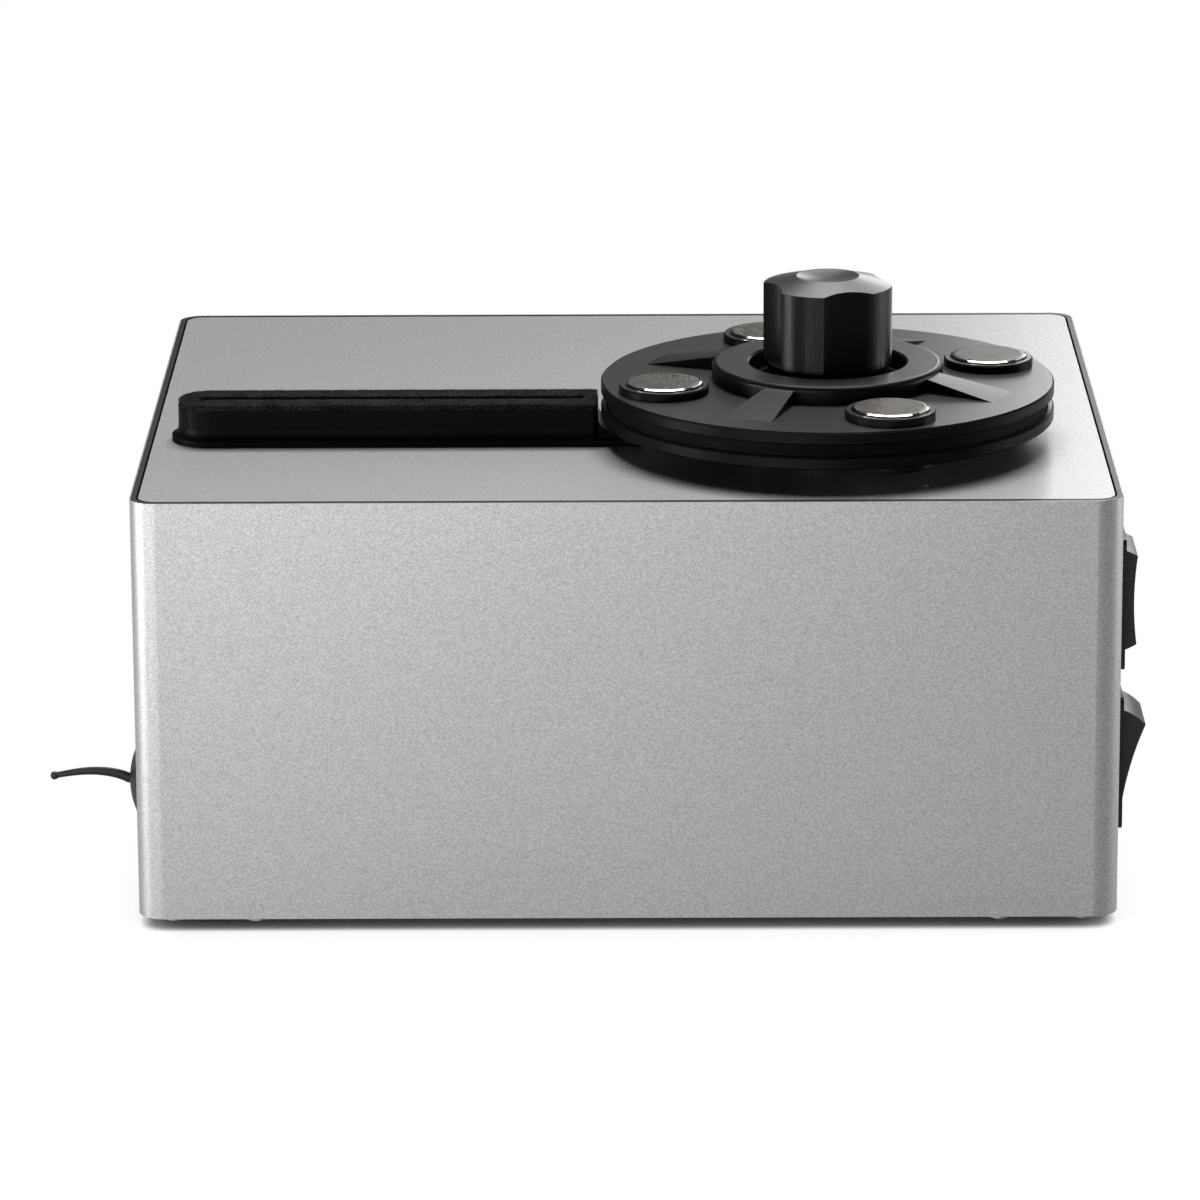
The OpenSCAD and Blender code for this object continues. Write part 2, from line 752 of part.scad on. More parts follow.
// Half of the nozzle's cross-section: how far out, how far up
function nozzle_side() = [
    [nozzle_half + flange_out, 0],
    [nozzle_half + flange_out, nozzle_flange_t],
    for (a = [0:15:90])
        [
            nozzle_half + flange_out * (1 - sin(a)) * 0.8,
            nozzle_flange_t + nozzle_fillet * (1 - cos(a))
        ],
    [nozzle_half, nozzle_top - top_z]
];

// Curve from the foot's tail up to the nozzle's inner end, seen from the front
function nozzle_tail_side() = [
    for (a = [0:10:90])
        [
            nozzle_end + nozzle_tail * (1 - sin(a)),
            nozzle_flange_t + 2 * nozzle_fillet * (1 - cos(a))
        ]
];

module nozzle_outside() {
    straight = nozzle_end - nozzle_round + nozzle_reach - nozzle_half;
    side = nozzle_side();
    translate([-nozzle_reach + nozzle_half, 0, 0]) {
        rotate([0, 0, 90]) rotate_extrude(angle = 180)
            polygon(concat([[0, 0]], side, [[0, nozzle_top - top_z]]));
        rotate([90, 0, 90]) linear_extrude(straight)
            polygon(concat(side, [for (i = [len(side) - 1:-1:0]) [-side[i][0], side[i][1]]]));
    }
    wall_x = nozzle_end - nozzle_w / 2;
    translate([wall_x, 0, 0]) round_block(nozzle_w, nozzle_w, nozzle_top - top_z, nozzle_round);
    translate([wall_x, -nozzle_half - flange_out, 0])
        cube([nozzle_w / 2 + nozzle_tail, 2 * (nozzle_half + flange_out), nozzle_flange_t]);
    translate([0, nozzle_half - nozzle_round, 0]) rotate([90, 0, 0])
        linear_extrude(nozzle_w - 2 * nozzle_round)
            polygon(concat(
                [[wall_x, 0], [nozzle_end + nozzle_tail, 0]],
                nozzle_tail_side(),
                [[wall_x, 2 * nozzle_fillet]]
            ));
}

module nozzle_body() {
    slot_l = slot_outer_r - slot_inner_r;
    color([0.07, 0.07, 0.075]) difference() {
        translate([0, 0, top_z]) union() {
            nozzle_outside();
            translate([-port_r, 0, -plate_t - stub_h]) cylinder(r = stub_r, h = plate_t + stub_h + over);
        }
        translate([-slot_outer_r, -slot_w / 2, nozzle_top - slot_depth])
            cube([slot_l, slot_w, slot_depth + over]);
        translate([-slot_outer_r, -channel_w / 2, top_z + channel_floor])
            cube([slot_l, channel_w, channel_h]);
        translate([-port_r, 0, plate_under - stub_h - over])
            cylinder(r = stub_bore, h = stub_h + plate_t + channel_floor + 2 * over);
        for (x = nozzle_screw_x)
            translate([x, nozzle_screw_side, top_z - over])
                cylinder(r = screw_r + screw_fit, h = screw_l - plate_t + seat_fit + over);
    }
}

module velvet_strip() {
    half = nozzle_half - velvet_inset;
    outer = -nozzle_reach + velvet_inset;
    inner = nozzle_end - velvet_inset;
    color([0.11, 0.11, 0.115]) difference() {
        translate([0, 0, nozzle_top]) linear_extrude(velvet_t) union() {
            translate([outer + half, 0]) circle(half);
            translate([outer + half, -half]) square([inner - outer - 2 * half, 2 * half]);
            translate([inner - half, 0]) round_rect(2 * half, 2 * half, nozzle_round);
        }
        translate([-slot_outer_r, -slot_w / 2, nozzle_top - over])
            cube([slot_outer_r - slot_inner_r, slot_w, velvet_t + 2 * over]);
    }
}

module nozzle_screws() {
    color([0.45, 0.46, 0.48])
        for (x = nozzle_screw_x)
            translate([x, nozzle_screw_side, plate_under]) pan_screw();
}

module nozzle_hose() {
    low = lid_top + seat_fit;
    color([0.13, 0.13, 0.14])
        translate([-port_r, 0, low]) tube(hose_r, hose_bore, plate_under - seat_fit - low);
}

// Waste tank

module waste_tank() {
    inside_w = tank_w - 2 * tank_wall;
    inside_d = tank_d - 2 * tank_wall;
    boss_h = screw_l + 4;
    color([0.82, 0.83, 0.8]) difference() {
        union() {
            difference() {
                translate([tank_x, tank_y, tank_z]) round_block(tank_w, tank_d, tank_h, tank_corner);
                translate([tank_x, tank_y, tank_z + tank_wall])
                    round_block(inside_w, inside_d, tank_h, tank_corner - tank_wall);
            }
            for (p = tank_spots) {
                translate([p[0], p[1], floor_z]) cylinder(r = tank_leg_r, h = tank_leg_h);
                translate([p[0], p[1], tank_z + tank_h - boss_h])
                    cylinder(r = tank_post_inset - tank_wall / 2, h = boss_h);
            }
        }
        screw_holes(tank_spots, floor_z - over, screw_l - base_t + seat_fit + over);
        screw_holes(tank_spots, tank_z + tank_h - screw_l, screw_l + over);
        translate([tank_x - tank_w / 2 - over, drain_y, drain_z]) rotate([0, 90, 0])
            cylinder(r = bush_out_r + run_fit, h = tank_wall + 2 * over);
    }
}

module lid_outline(h) {
    round_block(tank_w, tank_d, h, tank_corner);
}

module tank_gasket() {
    rim = 2 * tank_post_inset;
    color([0.1, 0.1, 0.1]) difference() {
        translate([tank_x, tank_y, lid_z - gasket_t]) difference() {
            lid_outline(gasket_t);
            translate([0, 0, -over])
                round_block(tank_w - rim, tank_d - rim, gasket_t + 2 * over, tank_corner);
        }
        screw_holes(tank_spots, lid_z - gasket_t - over, gasket_t + 2 * over);
    }
}

module tank_lid() {
    color([0.2, 0.2, 0.21]) difference() {
        union() {
            translate([tank_x, tank_y, lid_z]) lid_outline(lid_t);
            translate([-port_r, 0, lid_z]) cylinder(r = stub_r, h = lid_t + stub_h);
            translate([outlet_x, outlet_y, lid_z]) cylinder(r = stub_r, h = lid_t + stub_h);
        }
        translate([-port_r, 0, lid_z - over]) cylinder(r = stub_bore, h = lid_t + stub_h + 2 * over);
        translate([outlet_x, outlet_y, lid_z - over]) cylinder(r = stub_bore, h = lid_t + stub_h + 2 * over);
        screw_holes(tank_spots, lid_z - over, lid_t + 2 * over);
    }
}

module lid_screws() {
    color([0.5, 0.51, 0.53])
        for (p = tank_spots)
            translate([p[0], p[1], lid_top]) rotate([180, 0, 0]) pan_screw();
}

module drain_bush() {
    tank_face = left_x + tank_from_left;
    collar_l = tank_from_left - wall_t - seat_fit;
    color([0.16, 0.16, 0.17]) difference() {
        union() {
            translate([left_x, drain_y, drain_z]) rotate([0, 90, 0])
                cylinder(r = bush_out_r, h = tank_from_left + tank_wall + bush_in);
            translate([tank_face - collar_l, drain_y, drain_z]) rotate([0, 90, 0])
                cylinder(r = bush_out_r + bush_collar, h = collar_l);
        }
        translate([left_x - over, drain_y, drain_z]) rotate([0, 90, 0])
            cylinder(r = drain_r, h = tank_from_left + tank_wall + bush_in + 2 * over);
    }
}

// Point on the plug's pull tail, t from 0 at the cap to 1 at the tip
function tail_point(t) = [
    left_x - cap_h - tail_l * t,
    drain_z + tail_rise * sin(180 * pow(t, 0.8)) + 0.5 * t
];

// Radius of the tail at t, with a small bead at its tip
function tail_width(t) = tail_r * (1 - 0.45 * t) + 0.3 * tail_bead(t) - (t > 0.99 ? 0.5 * tail_r : 0);
function tail_bead(t) = t > 0.9 ? sin(180 * (t - 0.9) / 0.1) : 0;

// Ring of points square to the tail at t
function tail_ring(t, sides) =
    let (
        c = tail_point(max(t, 0)),
        d = tail_point(max(t, 0) + 0.02) - c,
        lean = atan2(d[1], d[0]),
        r = tail_width(max(t, 0)),
        back = t < 0 ? cap_h / 2 : 0
    )
    [
        for (i = [0:sides - 1])
            let (u = r * sin(i * 360 / sides), v = r * cos(i * 360 / sides))
            [c[0] - u * sin(lean) + back, drain_y + v, c[1] + u * cos(lean)]
    ];

// The tail is one round bar swept along its arch
module pull_tail() {
    sides = 12;
    rings = [-1, each [0:0.08:0.88], 0.9, 0.925, 0.95, 0.975, 1];
    points = [for (t = rings) each tail_ring(t, sides)];
    last = len(rings) - 1;
    walls = [
        for (k = [0:last - 1], i = [0:sides - 1])
            let (a = k * sides + i, b = k * sides + (i + 1) % sides)
            [a, a + sides, b + sides, b]
    ];
    ends = [[for (i = [0:sides - 1]) i], [for (i = [sides - 1:-1:0]) last * sides + i]];
    polyhedron(points, concat(walls, ends), convexity = 4);
}

module drain_plug() {
    dome = cap_h - cap_edge;
    dome_r = (pow(cap_r, 2) + pow(dome, 2)) / (2 * dome);
    color([0.06, 0.06, 0.065]) {
        translate([left_x, drain_y, drain_z]) rotate([0, -90, 0]) {
            cylinder(r = cap_r, h = cap_edge);
            rotate_extrude() intersection() {
                translate([0, cap_h - dome_r]) circle(dome_r);
                translate([0, cap_edge]) square([cap_r, cap_h]);
            }
            translate([0, 0, -stem_l]) cylinder(r = drain_r - run_fit, h = stem_l);
        }
        pull_tail();
    }
}

// Suction hose

// Path of the hose along X: up, over and down again
module hose_path(r, run, low_a, low_b, more) {
    high = hose_z - hose_bend;
    translate([0, 0, low_a - more]) cylinder(r = r, h = high - low_a + more);
    translate([hose_bend, 0, high]) rotate([90, 0, 0]) rotate([0, 0, 90])
        rotate_extrude(angle = 90) translate([hose_bend, 0]) circle(r);
    translate([hose_bend, 0, hose_z]) rotate([0, 90, 0]) cylinder(r = r, h = run - 2 * hose_bend);
    translate([run - hose_bend, 0, high]) rotate([90, 0, 0])
        rotate_extrude(angle = 90) translate([hose_bend, 0]) circle(r);
    translate([run, 0, low_b - more]) cylinder(r = r, h = high - low_b + more);
}

module suction_hose() {
    dx = fan_x - outlet_x;
    dy = fan_y - outlet_y;
    run = norm([dx, dy]);
    color([0.13, 0.13, 0.14])
        translate([outlet_x, outlet_y, 0]) rotate([0, 0, atan2(dy, dx)]) difference() {
            hose_path(hose_r, run, lid_top + seat_fit, fan_top + seat_fit, 0);
            hose_path(hose_bore, run, lid_top + seat_fit, fan_top + seat_fit, over);
        }
}

// Vacuum motor

module fan_motor() {
    color([0.35, 0.36, 0.38]) difference() {
        translate([fan_x, fan_y, fan_low]) {
            cylinder(r = mount_ring_r + mount_r - 1, h = fan_plate);
            cylinder(r = fan_motor_r, h = fan_motor_h);
            translate([0, 0, fan_motor_h - fan_plate]) cylinder(r = fan_r, h = fan_plate);
        }
        translate([fan_x, fan_y, fan_low + 2 * fan_plate])
            cylinder(r = fan_shaft_r + run_fit, h = fan_motor_h);
        screw_holes(mount_spots, fan_low - over, fan_plate + 2 * over);
    }
}

module fan_housing() {
    color([0.62, 0.63, 0.65]) difference() {
        translate([fan_x, fan_y, fan_seat]) {
            cylinder(r = fan_r, h = fan_h);
            cylinder(r = stub_r, h = fan_h + stub_h);
        }
        translate([fan_x, fan_y, fan_seat - over])
            cylinder(r = fan_r - fan_wall, h = fan_h - fan_wall + over);
        translate([fan_x, fan_y, fan_seat]) cylinder(r = stub_bore, h = fan_h + stub_h + over);
        for (i = [0:outlet_n - 1])
            translate([fan_x, fan_y, fan_seat + fan_wall]) rotate([0, 0, i * 360 / outlet_n])
                translate([fan_r - 2 * fan_wall, -outlet_w / 2, 0]) cube([3 * fan_wall, outlet_w, outlet_h]);
    }
}

module fan_mounts() {
    color([0.09, 0.09, 0.09]) difference() {
        for (p = mount_spots)
            translate([p[0], p[1], floor_z]) cylinder(r = mount_r, h = mount_h);
        screw_holes(mount_spots, floor_z - over, mount_h + 2 * over);
    }
}

module impeller() {
    front_z = impeller_disc + blade_h;
    hub_top = front_z + 2 * impeller_ring;
    hub_drop = 3;
    blade_t = 1.2;
    blade_in = impeller_hub_r - 2;
    blade_foot = impeller_disc / 2;
    color([0.75, 0.76, 0.78]) translate([fan_x, fan_y, impeller_z]) difference() {
        union() {
            cylinder(r = impeller_r, h = impeller_disc);
            translate([0, 0, -hub_drop]) cylinder(r = impeller_hub_r, h = hub_top + hub_drop);
            translate([0, 0, front_z]) tube(impeller_r, eye_r, impeller_ring);
            for (i = [0:blade_n - 1])
                rotate([0, 0, i * 360 / blade_n])
                    translate([blade_in, -blade_t / 2, blade_foot])
                        cube([impeller_r - 1 - blade_in, blade_t, front_z + impeller_ring / 2 - blade_foot]);
        }
        translate([0, 0, -hub_drop - over]) cylinder(r = fan_shaft_r, h = hub_top + hub_drop + 2 * over);
    }
}

module fan_shaft() {
    low = fan_low + 2 * fan_plate + seat_fit;
    color([0.7, 0.7, 0.72])
        translate([fan_x, fan_y, low]) cylinder(r = fan_shaft_r, h = impeller_z + blade_h - low);
}

// Bearing and drive

module bearing_housing() {
    color([0.5, 0.51, 0.53]) difference() {
        union() {
            translate([0, 0, bearing_low]) cylinder(r = bearing_r, h = plate_under - bearing_low);
            translate([0, 0, plate_under - bearing_flange_t])
                cylinder(r = bearing_flange_r, h = bearing_flange_t);
            translate([0, 0, plate_under - over]) cylinder(r = bearing_top_r, h = plate_t + over);
        }
        translate([0, 0, bearing_low - over]) cylinder(r = bush_r, h = top_z - bearing_low + 2 * over);
        screw_holes(bearing_spots, plate_under - bearing_flange_t - over, bearing_flange_t + 2 * over);
    }
}

module spindle_bushes() {
    color([0.72, 0.55, 0.32])
        for (z = [bearing_low, top_z - bush_l])
            translate([0, 0, z]) tube(bush_r, bore_r, bush_l);
}

module thrust_washer() {
    color([0.85, 0.84, 0.78]) translate([0, 0, top_z]) tube(washer_r, shaft_r + screw_fit, thrust_t);
}

// The countersunk screws of the bearing and of the gear motor
module sunk_screws() {
    color([0.3, 0.3, 0.31]) {
        for (p = bearing_spots)
            translate([p[0], p[1], top_z]) sunk_screw();
        for (p = motor_spots)
            translate([p[0], p[1], strut_top]) sunk_screw();
    }
}

module gear_motor() {
    hole_depth = screw_l - strut_t + seat_fit;
    color([0.66, 0.66, 0.68]) difference() {
        union() {
            translate([motor_x, 0, gearbox_z]) cylinder(r = gearbox_r, h = gearbox_h);
            translate([motor_x, 0, gearbox_z - can_h]) cylinder(r = can_r, h = can_h);
            translate([motor_x, 0, gearbox_z - can_h - can_boss_h]) cylinder(r = can_boss_r, h = can_boss_h);
        }
        translate([motor_x, 0, shaft_foot]) cylinder(r = motor_shaft_r + run_fit, h = gearbox_h);
        screw_holes(motor_spots, strut_top - strut_t - hole_depth, hole_depth + over);
    }
}

module motor_bracket() {
    leg_y = strut_half + strut_t / 2;
    foot_y = strut_half + strut_t + strut_foot / 2;
    color([0.6, 0.61, 0.63]) difference() {
        union() {
            translate([motor_x - strut_half, -strut_half - strut_t, strut_top - strut_t])
                cube([2 * strut_half, 2 * (strut_half + strut_t), strut_t]);
            for (s = [-1, 1]) {
                translate([motor_x - strut_half, s * leg_y - strut_t / 2, floor_z])
                    cube([2 * strut_half, strut_t, strut_h]);
                translate([motor_x - strut_half, s * foot_y - strut_foot / 2, floor_z])
                    cube([2 * strut_half, strut_foot, strut_t]);
            }
        }
        screw_holes(strut_spots, floor_z - over, strut_t + 2 * over);
        translate([motor_x, 0, strut_top - strut_t - over])
            cylinder(r = 2 * motor_shaft_r, h = strut_t + 2 * over);
        for (p = motor_spots)
            translate([p[0], p[1], strut_top]) sunk_cut(strut_t + over);
    }
}

// Outline of a gear with straight-sided teeth
function tooth(n, i, phase) =
    let (
        root = gear_m * n / 2 - dedendum,
        tip = gear_m * n / 2 + addendum,
        half = (PI * gear_m / 2 - backlash / 2) / 2,
        slope = tan(20),
        low = half + dedendum * slope,
        high = half - addendum * slope,
        a = phase + i * 360 / n
    )
    [
        for (q = [[root, -low], [tip, -high], [tip, high], [root, low]])
            [q[0] * cos(a) - q[1] * sin(a), q[0] * sin(a) + q[1] * cos(a)]
    ];

module gear_outline(n, phase) {
    polygon([for (i = [0:n - 1]) each tooth(n, i, phase)]);
}

module motor_shaft() {
    low = shaft_foot + seat_fit;
    color([0.72, 0.72, 0.74])
        translate([motor_x, 0, low]) cylinder(r = motor_shaft_r, h = gear_z + gear_t - low);
}

// The pinion shows a gap to the spindle's gear, which shows it a tooth
module drive_pinion() {
    color([0.8, 0.62, 0.34]) translate([motor_x, 0, gear_z]) difference() {
        linear_extrude(gear_t) gear_outline(pinion_n, 180 / pinion_n);
        translate([0, 0, -over]) cylinder(r = motor_shaft_r, h = gear_t + 2 * over);
    }
}

module spindle_gear() {
    color([0.88, 0.87, 0.82]) difference() {
        union() {
            translate([0, 0, gear_z]) linear_extrude(gear_t) gear_outline(gear_n, 180);
            translate([0, 0, gear_low]) cylinder(r = gear_hub_r, h = gear_high - gear_low);
        }
        translate([0, 0, gear_low - over]) cylinder(r = shaft_r, h = gear_high - gear_low + 2 * over);
    }
}

module gear_screw() {
    washer_t = 1;
    color([0.45, 0.46, 0.48]) translate([0, 0, gear_low - washer_t]) {
        pan_screw();
        tube(gear_hub_r - 2, screw_r, washer_t);
    }
}

module spindle() {
    color([0.78, 0.79, 0.8]) difference() {
        union() {
            translate([0, 0, gear_low]) cylinder(r = shaft_r, h = shoulder_z - gear_low);
            translate([0, 0, shoulder_z]) cylinder(r = shoulder_r, h = flange_z - shoulder_z);
            translate([0, 0, flange_z]) cylinder(r = flange_r, h = flange_t);
            translate([0, 0, disc_floor_z]) cylinder(r = pin_r + run_fit, h = recess_floor);
            translate([0, 0, disc_floor_z]) cylinder(r = pin_r, h = pin_h - disc_floor_z);
            translate([0, 0, pin_h]) cylinder(r1 = pin_r, r2 = pin_r - pin_bevel, h = pin_bevel);
        }
        translate([0, 0, gear_low - over]) cylinder(r = screw_r + screw_fit, h = screw_l + over);
        screw_holes(disc_spots, flange_z - over, flange_t + 2 * over);
    }
}

// Discs

// Turned section of a disc, from the recess outwards
module disc_section() {
    polygon([
        [pin_r + run_fit + screw_fit, 0],
        [disc_r - disc_bevel, 0],
        [disc_r, disc_bevel],
        [disc_r, disc_t - disc_bevel],
        [disc_r - disc_bevel, disc_t],
        [hub_r, disc_t],
        [hub_r, hub_top - hub_round],
        for (a = [15:15:75])
            [hub_r - hub_round * (1 - cos(a)), hub_top - hub_round * (1 - sin(a))],
        [hub_r - hub_round, hub_top],
        [recess_r + 0.5, hub_top],
        [recess_r, hub_top - 0.5],
        [recess_r, disc_t],
        [recess_r - recess_step + 0.3, disc_t],
        [recess_r - recess_step, disc_t - 0.3],
        [recess_r - recess_step, recess_floor],
        [pin_r + run_fit + screw_fit, recess_floor]
    ]);
}

// One ramp from the hub ring down to the disc's face
module spoke() {
    reach = spoke_r + 2;
    half = spoke_angle / 2;
    intersection() {
        rotate_extrude() polygon([
            [hub_r - hub_round, disc_t - 1],
            [spoke_r, disc_t - 1],
            [spoke_r, disc_t],
            [hub_r - hub_round, hub_top - 0.8]
        ]);
        linear_extrude(hub_top)
            polygon([[0, 0], [reach, -reach * tan(half)], [reach, reach * tan(half)]]);
    }
}

// Both discs are this moulding, with its flat face at z = 0
module disc_moulding() {
    magnets = ring(0, 0, magnet_ring_r, 4, magnet_angle);
    collar_bevel = 0.3;
    difference() {
        union() {
            rotate_extrude() disc_section();
            for (i = [0:3])
                rotate([0, 0, magnet_angle + 45 + 90 * i]) spoke();
            for (p = magnets)
                translate([p[0], p[1], disc_t - over]) {
                    cylinder(r = collar_r, h = collar_rise + over - collar_bevel);
                    translate([0, 0, collar_rise + over - collar_bevel])
                        cylinder(r1 = collar_r, r2 = collar_r - collar_bevel, h = collar_bevel);
                }
        }
        for (p = magnets)
            translate([p[0], p[1], magnet_floor]) cylinder(r = magnet_r + screw_fit, h = collar_top);
        for (p = disc_spots)
            translate([p[0], p[1], 0]) mirror([0, 0, 1]) sunk_cut(recess_floor + over);
    }
}

module seal_ring() {
    outer = disc_r - pad_inset;
    tube(outer, outer - pad_w, pad_t);
}

// Nickel-plated discs with rounded faces
module magnet_set() {
    edge = 0.6;
    for (p = ring(0, 0, magnet_ring_r, 4, magnet_angle))
        translate([p[0], p[1], magnet_floor]) rotate_extrude() polygon([
            [0, 0],
            [magnet_r, 0],
            [magnet_r, magnet_t - edge],
            [magnet_r - 0.2, magnet_t - 0.3],
            [magnet_r - edge, magnet_t - 0.1],
            [magnet_r - 2 * edge, magnet_t],
            [0, magnet_t]
        ]);
}

module disc_screw_set() {
    for (p = disc_spots)
        translate([p[0], p[1], 0]) mirror([0, 0, 1]) sunk_screw();
}

// The driven disc is the moulding turned over, with its flat face up
module driven_disc() {
    color([0.12, 0.12, 0.13]) translate([0, 0, -pad_t]) mirror([0, 0, 1]) disc_moulding();
}

module driven_seal() {
    color([0.05, 0.05, 0.05]) translate([0, 0, -pad_t]) seal_ring();
}

module driven_magnets() {
    color([0.75, 0.74, 0.7]) translate([0, 0, -pad_t]) mirror([0, 0, 1]) magnet_set();
}

module driven_screws() {
    color([0.3, 0.3, 0.31]) translate([0, 0, -pad_t]) mirror([0, 0, 1]) disc_screw_set();
}

module clamp_disc() {
    color([0.12, 0.12, 0.13]) translate([0, 0, pad_t]) disc_moulding();
}

module clamp_seal() {
    color([0.05, 0.05, 0.05]) seal_ring();
}

module clamp_magnets() {
    color([0.75, 0.74, 0.7]) translate([0, 0, pad_t]) magnet_set();
}

module clamp_screws() {
    color([0.3, 0.3, 0.31]) translate([0, 0, pad_t]) disc_screw_set();
}

// Four hollows down the knob's side, in line with the magnets
module scallops(z) {
    half_chord = knob_r * sin(scallop_angle);
    scallop_r = (pow(half_chord, 2) + pow(scallop_depth, 2)) / (2 * scallop_depth);
    scallop_x = knob_r * cos(scallop_angle) - scallop_depth + scallop_r;
    for (i = [0:3])
        rotate([0, 0, magnet_angle + 90 * i])
            translate([scallop_x, 0, z - over])
                cylinder(r = scallop_r, h = knob_side_h + knob_cone_h + 2 * over);
}

// Knob with a cone and a dish on top
module clamp_knob() {
    foot_z = pad_t + recess_floor;
    side_z = pad_t + hub_top + knob_gap;
    cone_z = side_z + knob_side_h;
    rim_z = cone_z + knob_cone_h;
    dish_ball = (pow(dish_r, 2) + pow(dish_depth, 2)) / (2 * dish_depth);
    color([0.05, 0.05, 0.055]) difference() {
        union() {
            translate([0, 0, foot_z]) cylinder(r = neck_r, h = side_z - foot_z);
            difference() {
                translate([0, 0, side_z]) cylinder(r = knob_r, h = knob_side_h);
                scallops(side_z);
            }
            difference() {
                translate([0, 0, cone_z]) cylinder(r1 = knob_r, r2 = dish_r, h = knob_cone_h);
                scallops(side_z);
            }
        }
        translate([0, 0, rim_z - dish_depth + dish_ball]) sphere(dish_ball, $fn = 180);
        translate([0, 0, foot_z - over]) cylinder(r = pin_r + run_fit + screw_fit, h = knob_bore + over);
        screw_holes(disc_spots, foot_z - over, screw_l - recess_floor + seat_fit + over);
    }
}

// Switches

module switch_case(z) {
    color([0.09, 0.09, 0.095]) difference() {
        union() {
            translate([right_x, switch_y, z]) rotate([0, 90, 0]) round_block(bezel_h, bezel_w, bezel_t, 1.5);
            translate([right_x - switch_d, switch_y - switch_w / 2, z - switch_h / 2])
                cube([switch_d, switch_w, switch_h]);
        }
        translate([pivot_x, switch_y + well_w / 2, z]) rotate([90, 0, 0]) cylinder(r = well_r, h = well_w);
        translate([pivot_x, switch_y + rocker_w / 2 + 2 + run_fit, z]) rotate([90, 0, 0])
            cylinder(r = pivot_r + run_fit, h = rocker_w + 4 + 2 * run_fit);
    }
}

module rocker_outline() {
    difference() {
        intersection() {
            circle(rocker_r);
            translate([-3, -rocker_r]) square([3 + pivot_depth + rocker_out, 2 * rocker_r]);
        }
        translate([pivot_depth + rocker_out - rocker_hollow + face_r, 0]) circle(face_r, $fn = 360);
    }
}

// A rocker and its two pivot pins, tilted about the pivot
module rocker(z, tilt) {
    color([0.08, 0.08, 0.085]) translate([pivot_x, switch_y, z]) rotate([0, tilt, 0]) rotate([90, 0, 0]) {
        translate([0, 0, -rocker_w / 2]) linear_extrude(rocker_w) rocker_outline();
        translate([0, 0, -rocker_w / 2 - 2]) cylinder(r = pivot_r, h = rocker_w + 4);
    }
}

module upper_switch() {
    switch_case(upper_z);
}

module lower_switch() {
    switch_case(lower_z);
}

// Turns the disc one way or the other, and rests in the middle
module direction_rocker() {
    rocker(upper_z, 0);
}

// Starts the suction, and rests with its upper end out
module vacuum_rocker() {
    rocker(lower_z, rocker_tilt);
}

module switch_tabs() {
    color([0.8, 0.72, 0.5])
        for (z = [upper_z, lower_z], i = [-1, 0, 1])
            translate([right_x - switch_d - tab_l, switch_y - tab_w / 2, z + tab_pitch * i - tab_t / 2])
                cube([tab_l, tab_w, tab_t]);
}

// Mains inlet and electronics

// The socket's outline has two cut corners at its lower edge
module socket_outline(w, h, cut) {
    polygon([
        [-w / 2, h / 2],
        [w / 2, h / 2],
        [w / 2, cut - h / 2],
        [w / 2 - cut, -h / 2],
        [cut - w / 2, -h / 2],
        [-w / 2, cut - h / 2]
    ]);
}

module mains_inlet() {
    color([0.07, 0.07, 0.075]) difference() {
        union() {
            translate([inlet_x, back_y + inlet_flange_t, inlet_z]) rotate([90, 0, 0])
                round_block(inlet_flange_w, inlet_flange_h, inlet_flange_t, 2);
            translate([inlet_x - inlet_body_w / 2, back_y - inlet_body_d, inlet_z - inlet_body_h / 2])
                cube([inlet_body_w, inlet_body_d, inlet_body_h]);
        }
        translate([inlet_x, back_y + inlet_flange_t + over, inlet_z]) rotate([90, 0, 0])
            linear_extrude(socket_d + over) socket_outline(socket_w, socket_h, 4);
    }
}

// Three blades stand in the socket and end in tabs behind it
module inlet_pins() {
    tab = 0.4 * prong_w;
    color([0.8, 0.8, 0.82])
        for (p = [[0, prong_rise], [-prong_side, -prong_rise], [prong_side, -prong_rise]]) {
            low = inlet_z + p[1] - prong_h / 2;
            translate([inlet_x + p[0] - prong_w / 2, back_y + inlet_flange_t - socket_d, low])
                cube([prong_w, socket_d - pin_sunk, prong_h]);
            translate([inlet_x + p[0] - tab / 2, back_y - inlet_body_d - prong_tab_l, low])
                cube([tab, prong_tab_l, prong_h]);
        }
}

module circuit_board() {
    color([0.1, 0.35, 0.2]) difference() {
        translate([board_x, board_y, floor_z + standoff_h]) round_block(board_w, board_d, board_t, 2);
        screw_holes(board_spots, floor_z + standoff_h - over, board_t + 2 * over);
    }
}

// Transformer at the left, relay at the right, capacitors between them, and a row of terminals in front
module board_parts() {
    z = floor_z + standoff_h + board_t;
    left = board_x - board_w / 2 + 3;
    right = board_x + board_w / 2 - 6.5;
    back = board_y + board_d / 2 - 9;
    front = board_y - board_d / 2 + 3.5;
    cap_x = right - relay_w - 1.5 - large_cap_r;
    large_y = back - large_cap_r;
    small_y = large_y - large_cap_r - 4 - small_cap_r;
    color([0.15, 0.15, 0.17]) {
        translate([left, back - transformer_d, z]) cube([transformer_w, transformer_d, transformer_h]);
        translate([right - relay_w, back - 1 - relay_d, z]) cube([relay_w, relay_d, relay_h]);
        translate([cap_x, large_y, z]) cylinder(r = large_cap_r, h = large_cap_h);
        translate([cap_x, small_y, z]) cylinder(r = small_cap_r, h = small_cap_h);
        translate([board_x - row_w / 2, front, z]) cube([row_w, row_d, row_h]);
    }
}

module board_standoffs() {
    color([0.8, 0.72, 0.45]) difference() {
        for (p = board_spots)
            translate([p[0], p[1], floor_z]) cylinder(r = 3, h = standoff_h, $fn = 6);
        screw_holes(board_spots, floor_z - over, standoff_h + 2 * over);
    }
}

